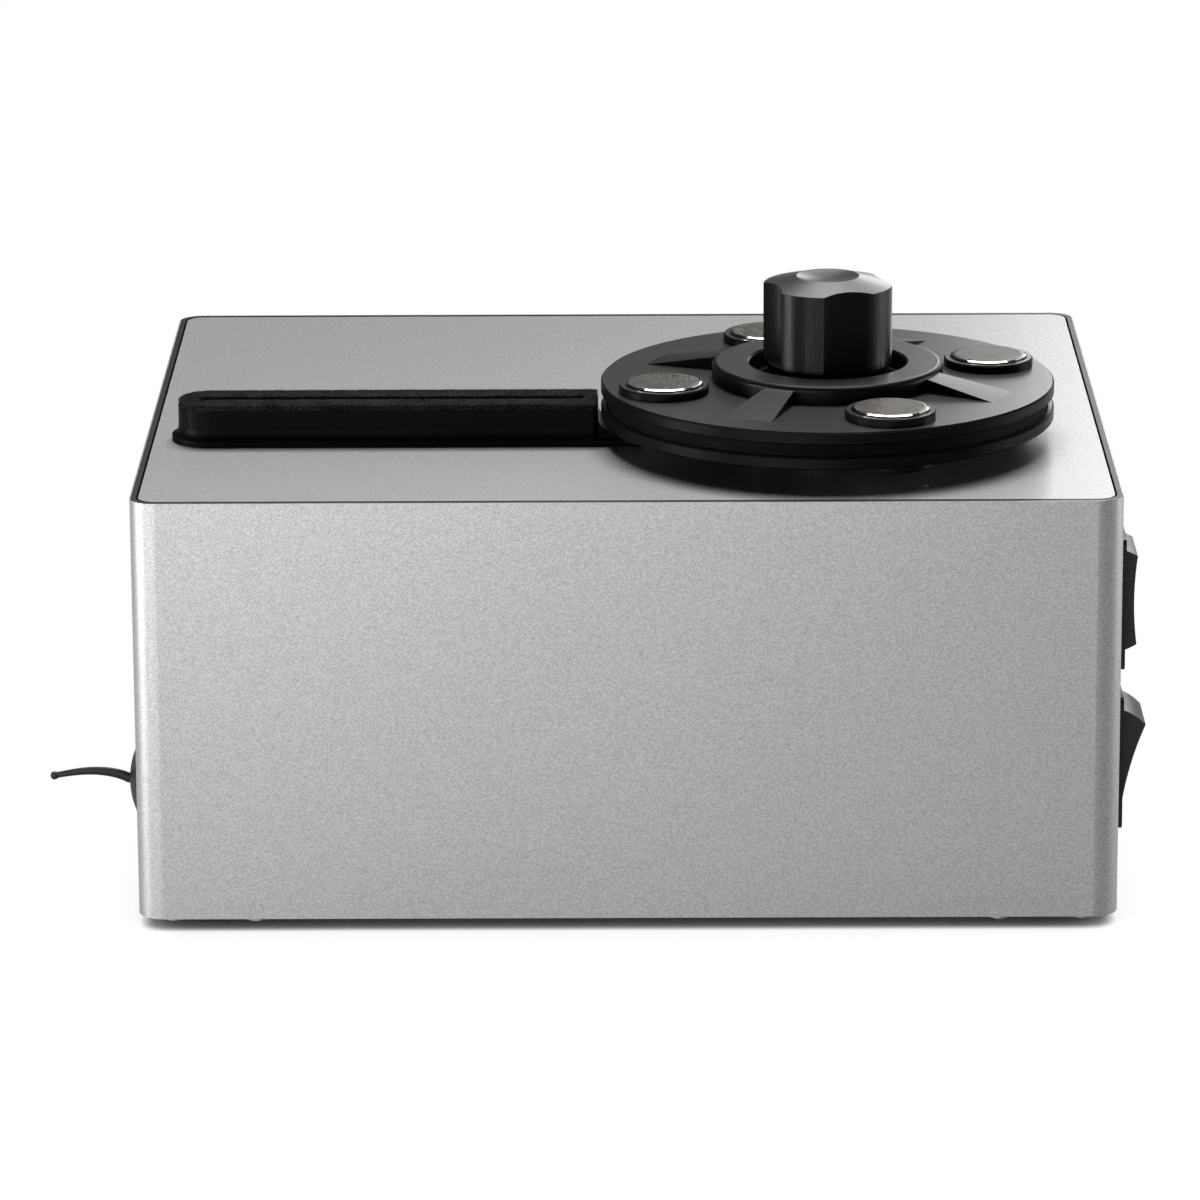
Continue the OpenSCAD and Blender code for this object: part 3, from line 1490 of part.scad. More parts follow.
sleeve_cover();
top_plate();
base_plate();
corner_posts();
sleeve_brackets();
base_screws();
feet();
foot_screws();
nozzle_body();
velvet_strip();
nozzle_screws();
nozzle_hose();
waste_tank();
tank_gasket();
tank_lid();
lid_screws();
drain_bush();
drain_plug();
suction_hose();
fan_motor();
fan_housing();
fan_mounts();
impeller();
fan_shaft();
bearing_housing();
spindle_bushes();
thrust_washer();
sunk_screws();
gear_motor();
motor_bracket();
motor_shaft();
drive_pinion();
spindle();
spindle_gear();
gear_screw();
driven_disc();
driven_seal();
driven_magnets();
driven_screws();
clamp_disc();
clamp_seal();
clamp_magnets();
clamp_screws();
clamp_knob();
upper_switch();
direction_rocker();
lower_switch();
vacuum_rocker();
switch_tabs();
mains_inlet();
inlet_pins();
circuit_board();
board_parts();
board_standoffs();
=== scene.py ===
# %% [markdown]
# # A record cleaning machine in its studio
# The machine's solid parts come packed from their CAD source, and nothing here moves or changes them. This
# file gives every part its finish, makes the velvet that wipes the record, and sets up the floor, the lamps
# and the camera.

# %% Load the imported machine
import math
import random

import bpy
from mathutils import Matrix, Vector, noise


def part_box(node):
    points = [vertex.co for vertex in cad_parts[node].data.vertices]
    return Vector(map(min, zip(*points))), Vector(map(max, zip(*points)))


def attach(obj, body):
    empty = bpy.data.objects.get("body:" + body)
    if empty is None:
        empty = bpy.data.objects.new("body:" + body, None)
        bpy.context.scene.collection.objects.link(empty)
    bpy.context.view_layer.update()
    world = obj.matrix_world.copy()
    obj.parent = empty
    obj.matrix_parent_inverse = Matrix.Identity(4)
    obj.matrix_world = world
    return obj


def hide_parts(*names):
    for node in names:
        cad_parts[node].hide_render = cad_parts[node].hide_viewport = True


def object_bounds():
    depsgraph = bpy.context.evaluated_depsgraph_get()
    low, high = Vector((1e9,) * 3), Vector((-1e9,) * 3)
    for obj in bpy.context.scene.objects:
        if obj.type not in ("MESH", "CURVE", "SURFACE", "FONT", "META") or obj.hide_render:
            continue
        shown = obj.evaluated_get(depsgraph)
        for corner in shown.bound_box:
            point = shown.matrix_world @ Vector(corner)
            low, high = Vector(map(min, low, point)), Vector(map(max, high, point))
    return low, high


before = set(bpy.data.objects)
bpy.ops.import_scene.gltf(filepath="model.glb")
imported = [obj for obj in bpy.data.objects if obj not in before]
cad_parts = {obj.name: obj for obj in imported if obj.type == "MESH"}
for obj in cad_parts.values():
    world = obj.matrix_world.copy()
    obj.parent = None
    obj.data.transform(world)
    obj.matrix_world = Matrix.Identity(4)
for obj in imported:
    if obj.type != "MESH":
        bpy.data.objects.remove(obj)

solid_low, solid_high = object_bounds()
print("solid box, mm:", [round(1000 * side, 1) for side in solid_high - solid_low])

# %% [markdown]
# ## The camera
# The photograph was taken from a little above, with a long lens from a metre and a half away, which keeps
# the case's edges nearly parallel. The place, the angles and the lens below were worked out from the case's
# corners. A camera in Blender looks down its own Z axis, so a tilt of 90 degrees would look level, and 74
# degrees looks 16 degrees down.

# %% Camera
camera_data = bpy.data.cameras.new("camera")
camera_data.sensor_width = 36
camera_data.lens = 196
camera = bpy.data.objects.new("camera", camera_data)
camera.location = (-0.04637, -1.48384, 0.36567)
camera.rotation_euler = [math.radians(turn) for turn in (74.375, 0.259, 0.197)]
bpy.context.scene.collection.objects.link(camera)
bpy.context.scene.camera = camera
bpy.context.scene.view_settings.view_transform = "Standard"
print("camera height above the record, mm:", round(1000 * camera.location.z))

# %% [markdown]
# ## Shader maths
# A material in Blender is a graph of nodes, and a graph is hard to read as text. Here a socket is wrapped in
# a small class that knows plus, minus, times and less than, so that a pattern reads as a formula and each
# sign adds its own node. A sum of plain numbers needs no node, because Python works it out first.


# %% A socket that can be reckoned with
class Wire:
    """An output socket. Each sign adds a Math node, or a Vector Math node where a vector takes part."""

    def __init__(self, finish, socket):
        self.finish = finish
        self.socket = socket

    def reckon(self, operation, first, second):
        """Adds the node for one sign, with numbers or wires on either side of it."""
        ends = [end.socket.type for end in (first, second) if isinstance(end, Wire)]
        kind = "VectorMath" if "VECTOR" in ends else "Math"
        return self.finish.node(kind, {"operation": operation}, {0: first, 1: second})

    def __add__(self, other):
        return self.reckon("ADD", self, other)

    def __sub__(self, other):
        return self.reckon("SUBTRACT", self, other)

    def __rsub__(self, other):
        return self.reckon("SUBTRACT", other, self)

    def __mul__(self, other):
        return self.reckon("MULTIPLY", self, other)

    def __lt__(self, other):
        """1 where this is less than the other, else 0. Python also turns other > this into this sign."""
        return self.reckon("LESS_THAN", self, other)

    __radd__ = __add__
    __rmul__ = __mul__


# %% A material in the making
def paint(red, green, blue):
    """A colour as picked on a screen, from 0 to 255, in the linear light that shaders work in."""
    shares = [level / 255 for level in (red, green, blue)]
    return tuple(s / 12.92 if s <= 0.04045 else ((s + 0.055) / 1.055) ** 2.4 for s in shares) + (1.0,)


class Finish:
    """One surface finish. What is even all over is set on the shader's sockets, and what varies is wired."""

    def __init__(self, name, even):
        self.material = bpy.data.materials.new(name)
        self.material.use_nodes = True
        self.tree = self.material.node_tree
        self.tree.nodes.clear()
        self.shader = self.tree.nodes.new("ShaderNodeBsdfPrincipled")
        output = self.tree.nodes.new("ShaderNodeOutputMaterial")
        self.tree.links.new(self.shader.outputs[0], output.inputs[0])
        for socket, value in even.items():
            self.wire(socket, value)

    def feed(self, socket, value):
        """Links a wire to a socket, or sets the socket's own value."""
        if isinstance(value, Wire):
            self.tree.links.new(value.socket, socket)
        else:
            socket.default_value = value

    def wire(self, socket, value):
        """Feeds one of the shader's own sockets."""
        self.feed(self.shader.inputs[socket], value)

    def node(self, kind, settings, sockets, out=0):
        """Adds any node: its settings first, then what goes into its sockets. Gives one output back."""
        made = self.tree.nodes.new("ShaderNode" + kind)
        for setting, value in settings.items():
            setattr(made, setting, value)
        for socket, value in sockets.items():
            self.feed(made.inputs[socket], value)
        return Wire(self, made.outputs[out])

    def place(self, out="Object"):
        """Where a point of the piece is, in metres, fixed to the piece as it moves."""
        return self.node("TexCoord", {}, {}, out)

    def along(self, axis, vector):
        """One axis of a vector, as a number."""
        return self.node("SeparateXYZ", {}, {0: vector}, axis)

    def upwards(self):
        """How far the surface looks up: 1 on a level top, 0 on an upright wall, -1 underneath."""
        return self.along("Z", self.place("Normal"))

    def cloud(self, size_mm, where=None, detail=2.0):
        """Soft random patches about size_mm across, from 0 to 1."""
        sockets = {"Vector": where or self.place(), "Scale": 1000 / size_mm, "Detail": detail}
        return self.node("TexNoise", {}, sockets)

    def flakes(self, size_mm):
        """Cells about size_mm across, each with its own even level from 0 to 1."""
        sockets = {"Vector": self.place(), "Scale": 1000 / size_mm}
        colour = self.node("TexVoronoi", {"feature": "F1"}, sockets, "Color")
        return self.node("SeparateColor", {}, {0: colour})

    def ease(self, level, low, high, to_low=0.0, to_high=1.0):
        """Turns a level between low and high smoothly into one between to_low and to_high."""
        settings = {"interpolation_type": "SMOOTHSTEP"}
        return self.node("MapRange", settings, {0: level, 1: low, 2: high, 3: to_low, 4: to_high})

    def blend(self, mask, first, second):
        """The first colour where the mask is 0, the second where it is 1."""
        return self.node("Mix", {"data_type": "RGBA"}, {0: mask, 6: first, 7: second}, 2)

    def bump(self, height, depth_mm):
        """Raises the surface by depth_mm where height is 1, for the light alone."""
        sockets = {"Strength": 1.0, "Distance": depth_mm / 1000, "Height": height}
        self.wire("Normal", self.node("Bump", {}, sockets))


def dress(finish, *names):
    """Gives CAD nodes a finish in place of the plain one they were packed with."""
    for name in names:
        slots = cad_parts[name].data.materials
        slots.clear()
        slots.append(finish.material)
        dressed.add(name)


dressed = set()
print("a mid grey in linear light:", [round(c, 3) for c in paint(128, 128, 128)[:3]])

# %% [markdown]
# ## Silver lacquer
# The sleeve and the top plate are steel sheet with a fine silver lacquer. Such a lacquer is a clear resin
# with tiny aluminium flakes in it, which lie at slightly different angles: some catch the light and some
# don't. One way is to model flakes as bumps, but at this size they are smaller than a pixel. So the flakes
# are cells that vary in brightness, which is painted glint, and in roughness, with a slow cloud over them
# for the unevenness of spraying. The sleeve's inner walls and the sheets' cut edges are painted black as
# painted shade: it stands for the shade in the narrow gap round the plate and forms the dark line there.
# Masks find them from the direction in which the surface looks and from where it is.

# %% Silver lacquer
def lacquer(name, painted_shade, rough, smooth):
    """Silver lacquer. The mask function passed in gives 1 where black is painted in, as painted shade for the
    gap.
    """
    made = Finish(name, {"IOR": 1.5})
    glitter = made.flakes(0.2)
    spray = made.cloud(1.4, detail=3)
    # Painted glint: brighter cells stand for flakes that catch the light; the slow cloud is the unevenness of
    # spraying.
    shine = made.ease(glitter * 0.85 + spray * 0.15, 0.1, 0.9)
    # Painted shade: black and not metallic where the mask is 1, standing for the shade in the gap round the
    # plate.
    black = painted_shade(made)
    silver = made.blend(shine, paint(147, 147, 148), paint(177, 177, 178))
    made.wire("Base Color", made.blend(black, silver, paint(8, 8, 8)))
    made.wire("Metallic", (1 - black) * 0.85)
    made.wire("Roughness", made.ease(glitter, 0, 1, rough, smooth))
    made.bump(made.cloud(0.3), 0.003)
    return made


wrap = 0.0003
barely_outwards = 0.001


def inside(finish):
    """1 on the sleeve's inner walls and its cut edge, where black is painted as shade, but for a hair's
    breadth where lacquer wraps over.
    """
    low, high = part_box("sleeve_cover")
    from_middle = finish.place() - tuple((low + high) / 2)
    level_and_normal = {0: from_middle * (1, 1, 0), 1: finish.place("Normal")}
    outwards = finish.node("VectorMath", {"operation": "DOT_PRODUCT"}, level_and_normal, 1)
    size = finish.node("VectorMath", {"operation": "ABSOLUTE"}, {0: from_middle})
    past_wall = size - tuple((high - low) / 2)
    past_sides = {i: finish.along(axis, past_wall) for i, axis in enumerate("XY")}
    nearest = finish.node("Math", {"operation": "MAXIMUM"}, past_sides)
    return (barely_outwards > outwards) * (-wrap > nearest)


def rim(finish):
    """1 on the plate's narrow sides, which are painted black as painted shade for the dark line round it."""
    return 0.5 > finish.upwards()


dress(lacquer("sleeve_lacquer", inside, 0.42, 0.38), "sleeve_cover")
dress(lacquer("plate_lacquer", rim, 0.40, 0.36), "top_plate")
print("silver parts:", sorted(dressed))

# %% [markdown]
# ## Black moulded plastic
# The two discs are injection moulded, and the mould was eroded by sparks to a fine matt grain. Their level
# tops look grey, because they mirror the bright room behind, while the upright edges stay black. A gloss all
# over would turn the edges grey too, so the gloss is a clear coat that only what looks straight up carries in
# full. A fine bump gives the grain, and a broad cloud in the roughness stands for the wear of hands.

# %% Disc plastic
disc_gloss = {"Specular IOR Level": 0.05, "Coat Roughness": 0.3, "Coat IOR": 1.75}
disc_plastic = Finish("disc_plastic", disc_gloss)
grain = disc_plastic.cloud(0.22, detail=1)
handling = disc_plastic.cloud(14, detail=3)
disc_plastic.wire("Base Color", disc_plastic.blend(handling, paint(8, 8, 9), paint(12, 12, 13)))
disc_plastic.wire("Roughness", disc_plastic.ease(handling + grain * 0.3, 0.3, 1.0, 0.27, 0.36))
disc_plastic.wire("Coat Weight", disc_plastic.ease(disc_plastic.upwards(), 0.965, 0.999))
disc_plastic.bump(grain, 0.012)
dress(disc_plastic, "clamp_disc", "driven_disc")
print("disc plastic nodes:", len(disc_plastic.tree.nodes))

# %% [markdown]
# ## The knob
# The knob was turned from bar and dyed black. Its sides were finished along their height, which is why a lamp
# shows there as a soft upright stripe. The streaks are the same cloud as before, only squeezed: its Z is
# shrunk, so each patch is stretched into an upright line. The cone and the dish on top were polished
# afterwards, so they have a clear coat, and a fine speckle in place of the streaks.

# %% Knob finish
knob_gloss = {
    "Specular IOR Level": 0.11,
    "Anisotropic": 0.7,
    "Anisotropic Rotation": 0.25,
    "Coat Roughness": 0.3,
    "Coat IOR": 1.7,
}
knob_black = Finish("knob_black", knob_gloss)
streaks = knob_black.cloud(0.3, knob_black.place() * (1, 1, 0.02))
speckle = knob_black.cloud(0.25, detail=1)
on_top = knob_black.ease(knob_black.upwards(), 0.1, 0.5)
knob_black.wire("Base Color", knob_black.blend(speckle, paint(4, 4, 4), paint(8, 8, 9)))
knob_black.wire("Roughness", knob_black.ease(streaks + on_top * 0.6, 0.2, 1.2, 0.19, 0.44))
knob_black.wire("Coat Weight", on_top)
knob_black.bump(streaks * (1 - on_top) + speckle * on_top, 0.008)
dress(knob_black, "clamp_knob")
print("knob nodes:", len(knob_black.tree.nodes))

# %% [markdown]
# ## Plated magnets
# The magnets are nickel plated. Their flat faces were tumbled to a finely speckled matt, and their rounded
# edges stay bright as a mirror. Both are on one piece, so a mask tells them apart: a face looks straight up
# or down, and the edge doesn't, so the square of the upwards direction is enough.

# %% Nickel
nickel = Finish("magnet_nickel", {"Metallic": 1.0})
facing = nickel.upwards()
flat = nickel.ease(facing * facing, 0.93, 0.985)
pits = nickel.flakes(0.3)
tarnish = nickel.cloud(5, detail=3)
tone = nickel.ease(pits * 0.7 + tarnish * 0.3, 0.2, 0.8)
matt = nickel.blend(tone, paint(36, 34, 32), paint(114, 111, 105))
mirror = 0.08
nickel.wire("Base Color", nickel.blend(flat, paint(158, 156, 151), matt))
nickel.wire("Roughness", flat * (nickel.ease(pits, 0, 1, 0.31, 0.43) - mirror) + mirror)
nickel.bump(pits * flat, 0.012)
dress(nickel, "clamp_magnets", "driven_magnets")
print("nickel nodes:", len(nickel.tree.nodes))

# %% [markdown]
# ## The suction nozzle and its velvet
# The nozzle is a black moulding with a dull sheen. On top it carries a strip of velvet round a narrow slot:
# the velvet wipes the record and the slot draws the liquid off. Velvet is a pile of short upright hairs.
# Particle hair could make it, but it is slow and can't be carried along with a part. Here a crowned strip
# gives the body of the pile, and thousands of tiny blades on it give the fuzzy edge that shows against the
# bright plate.

# %% Nozzle plastic
nozzle_black = Finish("nozzle_black", {"Specular IOR Level": 0.03})
flow = nozzle_black.cloud(0.8, nozzle_black.place() * (0.04, 1, 1))
nozzle_black.wire("Base Color", nozzle_black.blend(flow, paint(3, 3, 3), paint(6, 6, 7)))
nozzle_black.wire("Roughness", nozzle_black.ease(flow, 0.2, 0.8, 0.36, 0.48))
nozzle_black.bump(flow, 0.01)
dress(nozzle_black, "nozzle_body")
print("nozzle nodes:", len(nozzle_black.tree.nodes))

# %% The strip's outline
pile_low, pile_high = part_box("velvet_strip")
half_width = pile_high.y
pile_height = pile_high.z - pile_low.z
slot_half = 0.0012
slot_ends = (-0.1456, -0.0577)
corner = 0.0012
corner_steps = 4
edge_step = 0.0004


def outline(step):
    """Points round the strip's outer edge, a step apart: round at the left end and square at the right."""
    left = pile_low.x + half_width
    right = pile_high.x - corner
    square = half_width - corner
    points = []
    for i in range(round((right - left) / step)):
        points.append((left + i * step, -half_width))
    for i in range(corner_steps):
        turn = math.radians(90 * i / corner_steps - 90)
        points.append((right + corner * math.cos(turn), -square + corner * math.sin(turn)))
    for i in range(round(2 * square / step)):
        points.append((pile_high.x, -square + i * step))
    for i in range(corner_steps):
        turn = math.radians(90 * i / corner_steps)
        points.append((right + corner * math.cos(turn), square + corner * math.sin(turn)))
    for i in range(round((right - left) / step)):
        points.append((right - i * step, half_width))
    around = round(math.pi * half_width / step)
    for i in range(around):
        turn = math.pi / 2 + math.pi * i / around
        points.append((left + half_width * math.cos(turn), half_width * math.sin(turn)))
    return points


def slot_point(x, y):
    """The point of the slot's edge that faces a point of the outer edge."""
    middle = min(max(x, slot_ends[0]), slot_ends[1])
    away = math.hypot(x - middle, y)
    return middle + slot_half * (x - middle) / away, slot_half * y / away


edge_points = outline(edge_step)
count = len(edge_points)
print("points round the velvet:", count)

# %% The body of the pile
shoulder = 0.0005
across = 16
sunk = 0.0001
tuft_height = 0.00007
fine_tufts = 1500
broad_tufts = 400


def pile_profile():
    """Pairs of a share of the way out from the slot and a height under the top, from foot to foot."""
    rise = [(0.0, -pile_height), (0.0, -shoulder), (0.02, -0.4 * shoulder), (0.06, -0.1 * shoulder)]
    top = [(0.06 + 0.88 * (i + 1) / across, 0.0) for i in range(across)]
    fall = [(0.97, -0.2 * shoulder), (0.995, -0.6 * shoulder), (1.0, -1.2 * shoulder)]
    return rise + top + fall + [(1.0, -pile_height)]


def tuft(x, y):
    """How much the pile stands up or lies down at a point. The 7 only keeps the two noises apart."""
    fine = noise.noise(Vector((x, y, 0)) * fine_tufts)
    return fine + 0.7 * noise.noise(Vector((x, y, 7)) * broad_tufts)


def pile_point(x, y, share, drop):
    """The point that is this share of the way from the slot to (x, y), and drop over the top or under it."""
    near_x, near_y = slot_point(x, y)
    px = near_x + share * (x - near_x)
    py = near_y + share * (y - near_y)
    lift = tuft_height * tuft(px, py) if drop > -2 * shoulder else 0
    return px, py, pile_high.z - sunk + drop + lift


profile = pile_profile()
rows = len(profile)
vertices = [pile_point(x, y, share, drop) for x, y in edge_points for share, drop in profile]
faces = []
for i in range(count):
    following = (i + 1) % count
    for k in range(rows):
        above = (k + 1) % rows
        faces.append((i * rows + k, following * rows + k, following * rows + above, i * rows + above))
pile_mesh = bpy.data.meshes.new("velvet_pile")
pile_mesh.from_pydata(vertices, [], faces)
pile_mesh.polygons.foreach_set("use_smooth", [True] * len(faces))
pile = bpy.data.objects.new("velvet_pile", pile_mesh)
bpy.context.scene.collection.objects.link(pile)
print("velvet faces:", len(faces))

# %% [markdown]
# The blades of the nap start a little inside the pile and lean at random. They are closer together towards
# the rim, and those at the rim also lean outwards, because the rim is what shows against the plate. A seed
# makes the dice fall the same way each time, so that every render shows the same velvet.

# %% The nap
dice = random.Random(33)
blade_count = 16000
blade_half = 0.00003
least_height = 0.00025
more_height = 0.0004
lean = 0.00012
rim_lean = 0.00025
rim_from = 0.95
crowding = 1.5
reach_in = 0.97
root = 0.0002
edge_root = 0.0005
edge_from = 0.97
nap_vertices = []
nap_faces = []
for blade in range(blade_count):
    x, y = edge_points[dice.randrange(count)]
    share = 1 - dice.random() ** crowding * reach_in
    foot = Vector(pile_point(x, y, share, -root if share < edge_from else -edge_root))
    near_x, near_y = slot_point(x, y)
    tip = foot + Vector((x - near_x, y - near_y, 0)).normalized() * (rim_lean if share > rim_from else 0)
    tip += Vector((dice.gauss(0, lean), dice.gauss(0, lean), least_height + more_height * dice.random()))
    turn = dice.random() * math.tau
    side = Vector((math.cos(turn), math.sin(turn), 0)) * blade_half
    nap_faces.append(tuple(len(nap_vertices) + i for i in range(3)))
    nap_vertices += [foot - side, foot + side, tip]
nap_mesh = bpy.data.meshes.new("velvet_nap")
nap_mesh.from_pydata(nap_vertices, [], nap_faces)
nap = bpy.data.objects.new("velvet_nap", nap_mesh)
bpy.context.scene.collection.objects.link(nap)
print("blades of nap:", len(nap_faces))

# %% [markdown]
# Both pieces share one finish and ride on the case, and the pile takes the place of the plain strip. Velvet
# swallows light, so it is nearly black, but for paler hairs, which are its own colour, and for patches of
# painted sheen where the nap lies another way and catches the light.

# %% Velvet
velvet_look = {
    "Roughness": 1.0,
    "Specular IOR Level": 0.03,
    "Sheen Weight": 0.01,
    "Sheen Roughness": 0.5,
}
velvet = Finish("velvet", velvet_look)
hairs = velvet.cloud(0.4, detail=1)
painted_nap_sheen = velvet.cloud(6, detail=3)
# Paler hairs are the velvet's own colour; the broad patches are painted sheen where the nap lies another way.
pale = velvet.ease(hairs * 0.75 + painted_nap_sheen * 0.25, 0.38, 0.68)
velvet.wire("Base Color", velvet.blend(pale, paint(2, 2, 2), paint(38, 38, 41)))
velvet.bump(hairs, 0.12)
for piece in (pile, nap):
    piece.data.materials.append(velvet.material)
    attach(piece, "case")
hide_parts("velvet_strip")
dressed.add("velvet_strip")
print("velvet nodes:", len(velvet.tree.nodes))

# %% [markdown]
# ## Rubber
# The seals that grip the record, the feet, the drain plug with its tail, the hoses and the fan's mounts are
# rubber. Rubber has almost no gloss, it is never quite even, and dust shows on it as a faint bloom. One
# function makes all of them, with two colours for each: clean rubber, and rubber under dust.


# %% Rubber finishes
def rubber(name, dark, bloom, roughness, gloss=0.3):
    """Rubber, dark where it is clean and in the bloom's colour where dust lies on it."""
    made = Finish(name, {"Specular IOR Level": gloss})
    skin = made.cloud(0.5)
    dust = made.cloud(7, detail=3)
    made.wire("Base Color", made.blend(made.ease(dust, 0.35, 0.75), dark, bloom))
    made.wire("Roughness", made.ease(skin, 0.25, 0.75, roughness - 0.06, roughness + 0.06))
    made.bump(skin, 0.01)
    return made


seal_rubber = rubber("seal_rubber", paint(4, 4, 4), paint(8, 8, 8), 0.75, 0.05)
foot_rubber = rubber("foot_rubber", paint(20, 20, 20), paint(32, 32, 33), 0.8)
plug_rubber = rubber("plug_rubber", paint(12, 12, 12), paint(22, 22, 23), 0.5)
hose_rubber = rubber("hose_rubber", paint(26, 26, 28), paint(42, 42, 45), 0.55)
dress(seal_rubber, "clamp_seal", "driven_seal")
dress(foot_rubber, "feet", "fan_mounts", "tank_gasket")
dress(plug_rubber, "drain_plug", "drain_bush")
dress(hose_rubber, "nozzle_hose", "suction_hose")
print("dressed so far:", len(dressed))

# %% [markdown]
# ## Moulded pieces
# The two rocker switches and the mains inlet are bought-in parts in black nylon. Their frames are slightly
# matt, and the rockers, polished by fingers, shine a little more. The tank, the gears, the thrust washer and
# the fan's housing inside are moulded too, in plastics that suit water, sliding or heat. They share one
# finish: a fine texture from the mould, and broad patches where the surface was touched.


# %% Moulded finishes
def nylon(name, colour, worn, low, high):
    """A moulded plastic, from colour to worn in broad patches, with its roughness between low and high."""
    made = Finish(name, {"Specular IOR Level": 0.4})
    texture = made.cloud(0.18, detail=1)
    touch = made.cloud(9, detail=3)
    made.wire("Base Color", made.blend(touch, colour, worn))
    made.wire("Roughness", made.ease(texture * 0.5 + touch * 0.5, 0.25, 0.75, low, high))
    made.bump(texture, 0.008)
    return made


switch_frame = nylon("switch_frame", paint(20, 20, 22), paint(30, 30, 32), 0.38, 0.5)
rocker_black = nylon("rocker_black", paint(24, 25, 28), paint(36, 37, 41), 0.24, 0.36)
tank_plastic = nylon("tank_polypropylene", paint(196, 200, 200), paint(212, 215, 214), 0.4, 0.52)
gear_plastic = nylon("gear_acetal", paint(222, 220, 210), paint(234, 232, 224), 0.34, 0.44)
thrust_nylon = nylon("thrust_nylon", paint(200, 196, 182), paint(214, 210, 198), 0.4, 0.5)
housing_black = nylon("housing_black", paint(26, 27, 29), paint(38, 39, 42), 0.4, 0.52)
dress(switch_frame, "upper_switch", "lower_switch", "mains_inlet")
dress(rocker_black, "direction_rocker", "vacuum_rocker")
dress(tank_plastic, "waste_tank", "tank_lid")
dress(gear_plastic, "spindle_gear", "drive_pinion")
dress(thrust_nylon, "thrust_washer", "board_standoffs")
dress(housing_black, "fan_housing")
print("dressed so far:", len(dressed))

# %% [markdown]
# ## Metals inside
# Most of the chassis is sheet steel with a zinc coat, which dries into large pale crystals. The screws are
# zinc too, but brighter. The spindle and the shafts are ground steel, and the bushes are bronze. All of them
# are the same cloud at another size, and on turned and drawn pieces it is stretched into the lines that a
# tool leaves.


# %% Metal finishes
def metal(name, dull, bright, low, high, size_mm, stretch=(1, 1, 1)):
    """A bare or plated metal, dull to bright in patches of size_mm, and rougher where it is dull."""
    made = Finish(name, {"Metallic": 1.0})
    crystals = made.cloud(size_mm, made.place() * stretch, detail=4)
    stain = made.cloud(12, detail=3)
    made.wire("Base Color", made.blend(made.ease(crystals * 0.7 + stain * 0.3, 0.3, 0.7), dull, bright))
    made.wire("Roughness", made.ease(crystals, 0.3, 0.7, high, low))
    made.bump(crystals, 0.01)
    return made


level_lines = (0.1, 0.1, 1)
upright_lines = (1, 1, 0.1)
zinc = metal("zinc_sheet", paint(150, 154, 158), paint(196, 199, 201), 0.32, 0.5, 3)
screw_zinc = metal("screw_zinc", paint(168, 170, 172), paint(216, 218, 219), 0.2, 0.34, 0.4)
ground = metal("ground_steel", paint(176, 176, 176), paint(218, 218, 217), 0.14, 0.26, 0.3, level_lines)
bronze = metal("bronze", paint(150, 104, 52), paint(196, 146, 84), 0.26, 0.4, 0.5)
cast = metal("cast_aluminium", paint(148, 150, 152), paint(190, 191, 193), 0.36, 0.52, 0.8)
motor_can = metal("motor_can", paint(140, 143, 147), paint(186, 188, 191), 0.28, 0.42, 1.2, upright_lines)
brass = metal("tinned_brass", paint(176, 160, 120), paint(214, 200, 160), 0.22, 0.34, 0.5)
dress(zinc, "base_plate", "corner_posts", "sleeve_brackets", "motor_bracket")
dress(screw_zinc, "base_screws", "foot_screws", "nozzle_screws", "lid_screws", "sunk_screws")
dress(screw_zinc, "driven_screws", "clamp_screws", "gear_screw")
dress(ground, "spindle", "motor_shaft", "fan_shaft")
dress(bronze, "spindle_bushes")
dress(cast, "bearing_housing", "impeller")
dress(motor_can, "fan_motor", "gear_motor")
dress(brass, "inlet_pins", "switch_tabs")
print("dressed so far:", len(dressed))

# %% [markdown]
# ## The circuit board
# The board switches the two motors. Its green is a lacquer over copper tracks, which show through as
# slightly lighter lines: the joints of a brick pattern are close enough to such tracks.

# %% Board
board = Finish("board_green", {"Specular IOR Level": 0.5})
bricks = {"Vector": board.place(), "Scale": 160.0, "Mortar Size": 0.012}
tracks = board.node("TexBrick", {}, bricks, "Fac")
board.wire("Base Color", board.blend(tracks, paint(18, 74, 44), paint(46, 118, 72)))
board.wire("Roughness", board.ease(board.cloud(4), 0.3, 0.7, 0.28, 0.4))
board.bump(tracks, 0.03)
dress(board, "circuit_board")
dress(nylon("relay_blue", paint(24, 42, 86), paint(34, 54, 104), 0.3, 0.42), "board_parts")
print("nodes without a finish:", sorted(set(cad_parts) - dressed))

# %% [markdown]
# ## The studio
# The machine stands on a table that runs out of the picture and looks pure white. Lighting it until it is
# white would burn out the silver. So it glows by itself instead, in full for the camera and at half strength
# in reflections. Close to the machine and under it, where little of the sky is open, it is an ordinary matt
# grey that gets its light from the lamps, and that keeps the contact shadow. The Ambient Occlusion node says
# how open each point is.

# %% Floor
floor_mesh = bpy.data.meshes.new("floor")
floor_half = 6.0
floor_z = solid_low.z
floor_corners = [(-1, -1), (1, -1), (1, 1), (-1, 1)]
floor_points = [(floor_half * x, floor_half * y, floor_z) for x, y in floor_corners]
floor_mesh.from_pydata(floor_points, [], [(0, 1, 2, 3)])
floor = bpy.data.objects.new("floor", floor_mesh)
bpy.context.scene.collection.objects.link(floor)
print("floor at, mm:", round(1000 * floor_z, 1))

# %% The table's glow
table = Finish("white_table", {"Base Color": paint(96, 96, 96), "Roughness": 0.8, "Specular IOR Level": 0.1})
mirrored = 0.5
shadow_reach = 0.016


def seen_by(finish):
    """1 for a ray from the camera or through glass, less for a reflection, 0 for the light on things."""
    kinds = ("Is Camera Ray", "Is Glossy Ray", "Is Transmission Ray")
    rays = [finish.node("LightPath", {}, {}, kind) for kind in kinds]
    return rays[0] + rays[1] * mirrored + rays[2]


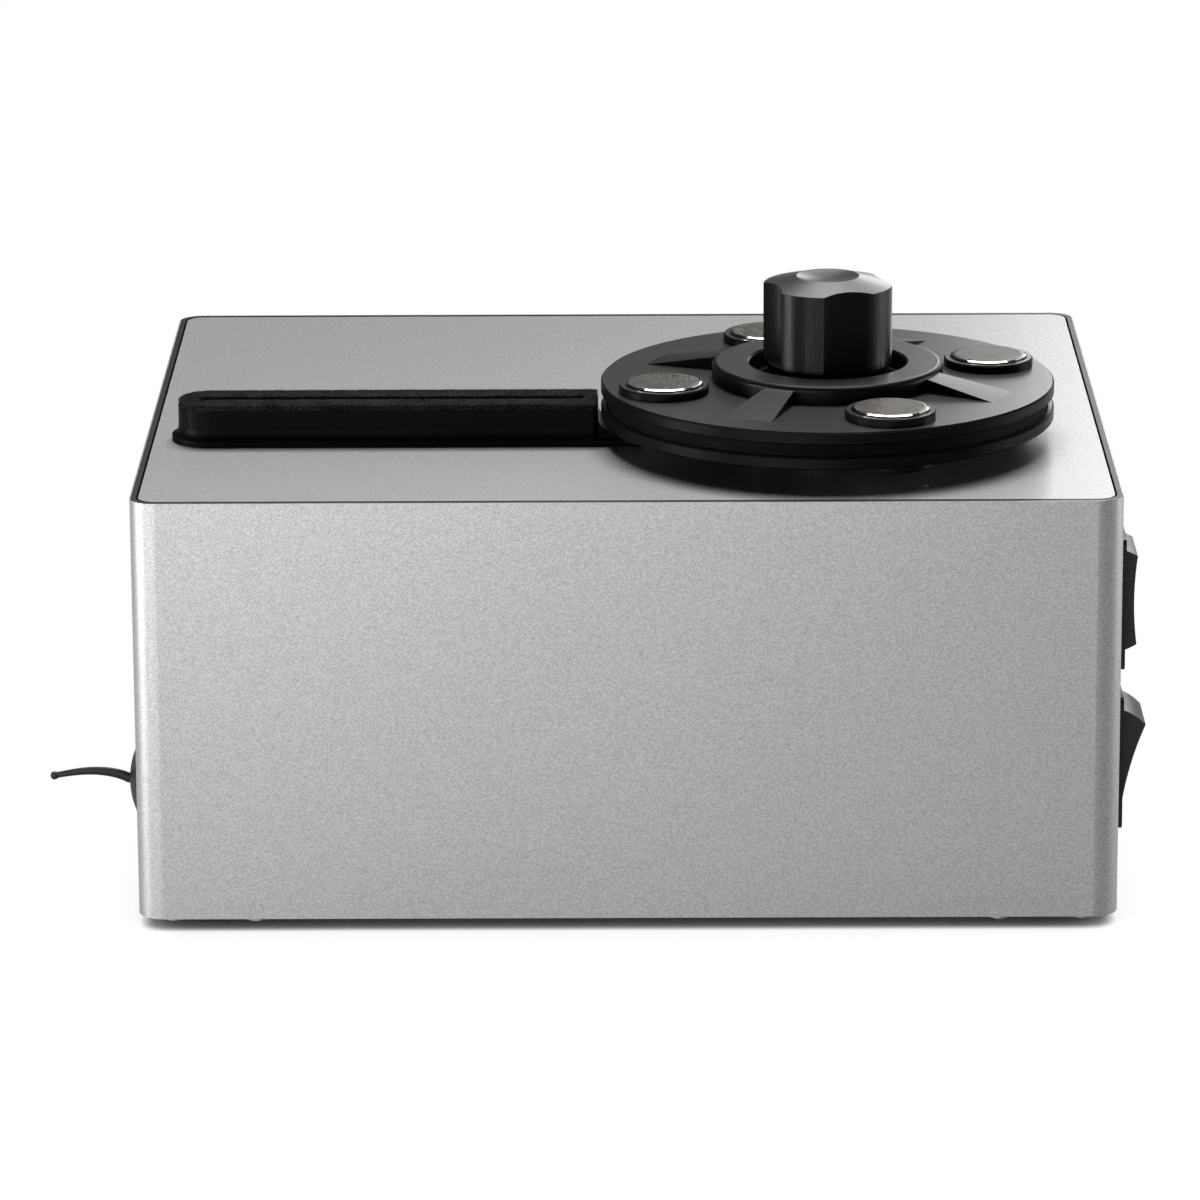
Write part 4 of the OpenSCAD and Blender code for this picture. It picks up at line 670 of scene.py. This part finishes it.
openness = table.node("AmbientOcclusion", {"samples": 8}, {"Distance": shadow_reach}, "AO")
glow = table.node("Emission", {}, {"Color": (1, 1, 1, 1), "Strength": 1.0})
glowing = seen_by(table) * table.ease(openness, 0.06, 0.62)
matt_grey = Wire(table, table.shader.outputs[0])
mixed = table.node("MixShader", {}, {0: glowing, 1: matt_grey, 2: glow})
table.feed(table.tree.nodes["Material Output"].inputs[0], mixed)
floor.data.materials.append(table.material)
print("table nodes:", len(table.tree.nodes))

# %% [markdown]
# The room is dim. It is a little brighter to the right and behind, where a studio's window would be, so that
# no face of the machine falls quite black.

# %% Sky
world = bpy.data.worlds.new("studio")
bpy.context.scene.world = world
world.use_nodes = True


class Sky(Finish):
    """The world's nodes, made with the same methods as a finish."""

    def __init__(self, tree):
        self.tree = tree
        self.tree.nodes.clear()


sky = Sky(world.node_tree)
bright_side = Vector((0.75, 0.6, 0.25)).normalized()
looking = {0: sky.place("Generated"), 1: bright_side}
towards = sky.node("VectorMath", {"operation": "DOT_PRODUCT"}, looking, 1)
strength = sky.ease(towards, -0.5, 1.0, 0.03, 0.07)
room = sky.node("Background", {}, {"Color": paint(250, 251, 255), "Strength": strength})
sky.tree.links.new(room.socket, sky.tree.nodes.new("ShaderNodeOutputWorld").inputs[0])
print("world nodes:", len(sky.tree.nodes))

# %% [markdown]
# The lamps are seven soft boxes. A broad one above and a little behind lights the top and throws the disc's
# shadow forwards, and two weak ones behind, one low and one high, give the plate its sheen at the right. A
# long strip near the floor in front lights the front face. The camera looks down on that face, which
# therefore mirrors what stands low. A second strip at the front left corner makes the light fall off to the
# right, a small box at the left draws the bright line down the case's round edge, and one at the right shows
# the switches.


# %% Lamps
lamps_aim = Vector((-0.04, 0.03, -0.03))


def soft_box(name, place, width, height, watts):
    """A rectangular lamp that faces the machine."""
    data = bpy.data.lights.new(name, "AREA")
    data.shape = "RECTANGLE"
    data.size = width
    data.size_y = height
    data.energy = watts
    lamp = bpy.data.objects.new(name, data)
    lamp.location = place
    lamp.rotation_euler = (lamps_aim - Vector(place)).to_track_quat("-Z", "Y").to_euler()
    bpy.context.scene.collection.objects.link(lamp)


soft_box("top_box", (0.0, 0.4, 1.12), 0.8, 0.6, 37.5)
soft_box("back_box", (0.36, 1.15, 0.3), 0.5, 0.4, 1.85)
soft_box("high_box", (0.4, 1.1, 0.75), 0.6, 0.4, 1.0)
soft_box("right_box", (1.1, 0.35, 0.05), 0.6, 0.3, 8)
soft_box("front_box", (-0.5, -1.25, -0.06), 1.0, 0.2, 11.1)
soft_box("corner_box", (-0.85, -0.75, -0.06), 0.8, 0.2, 3.1)
soft_box("edge_box", (-1.15, -0.3, -0.02), 0.3, 0.26, 14.5)
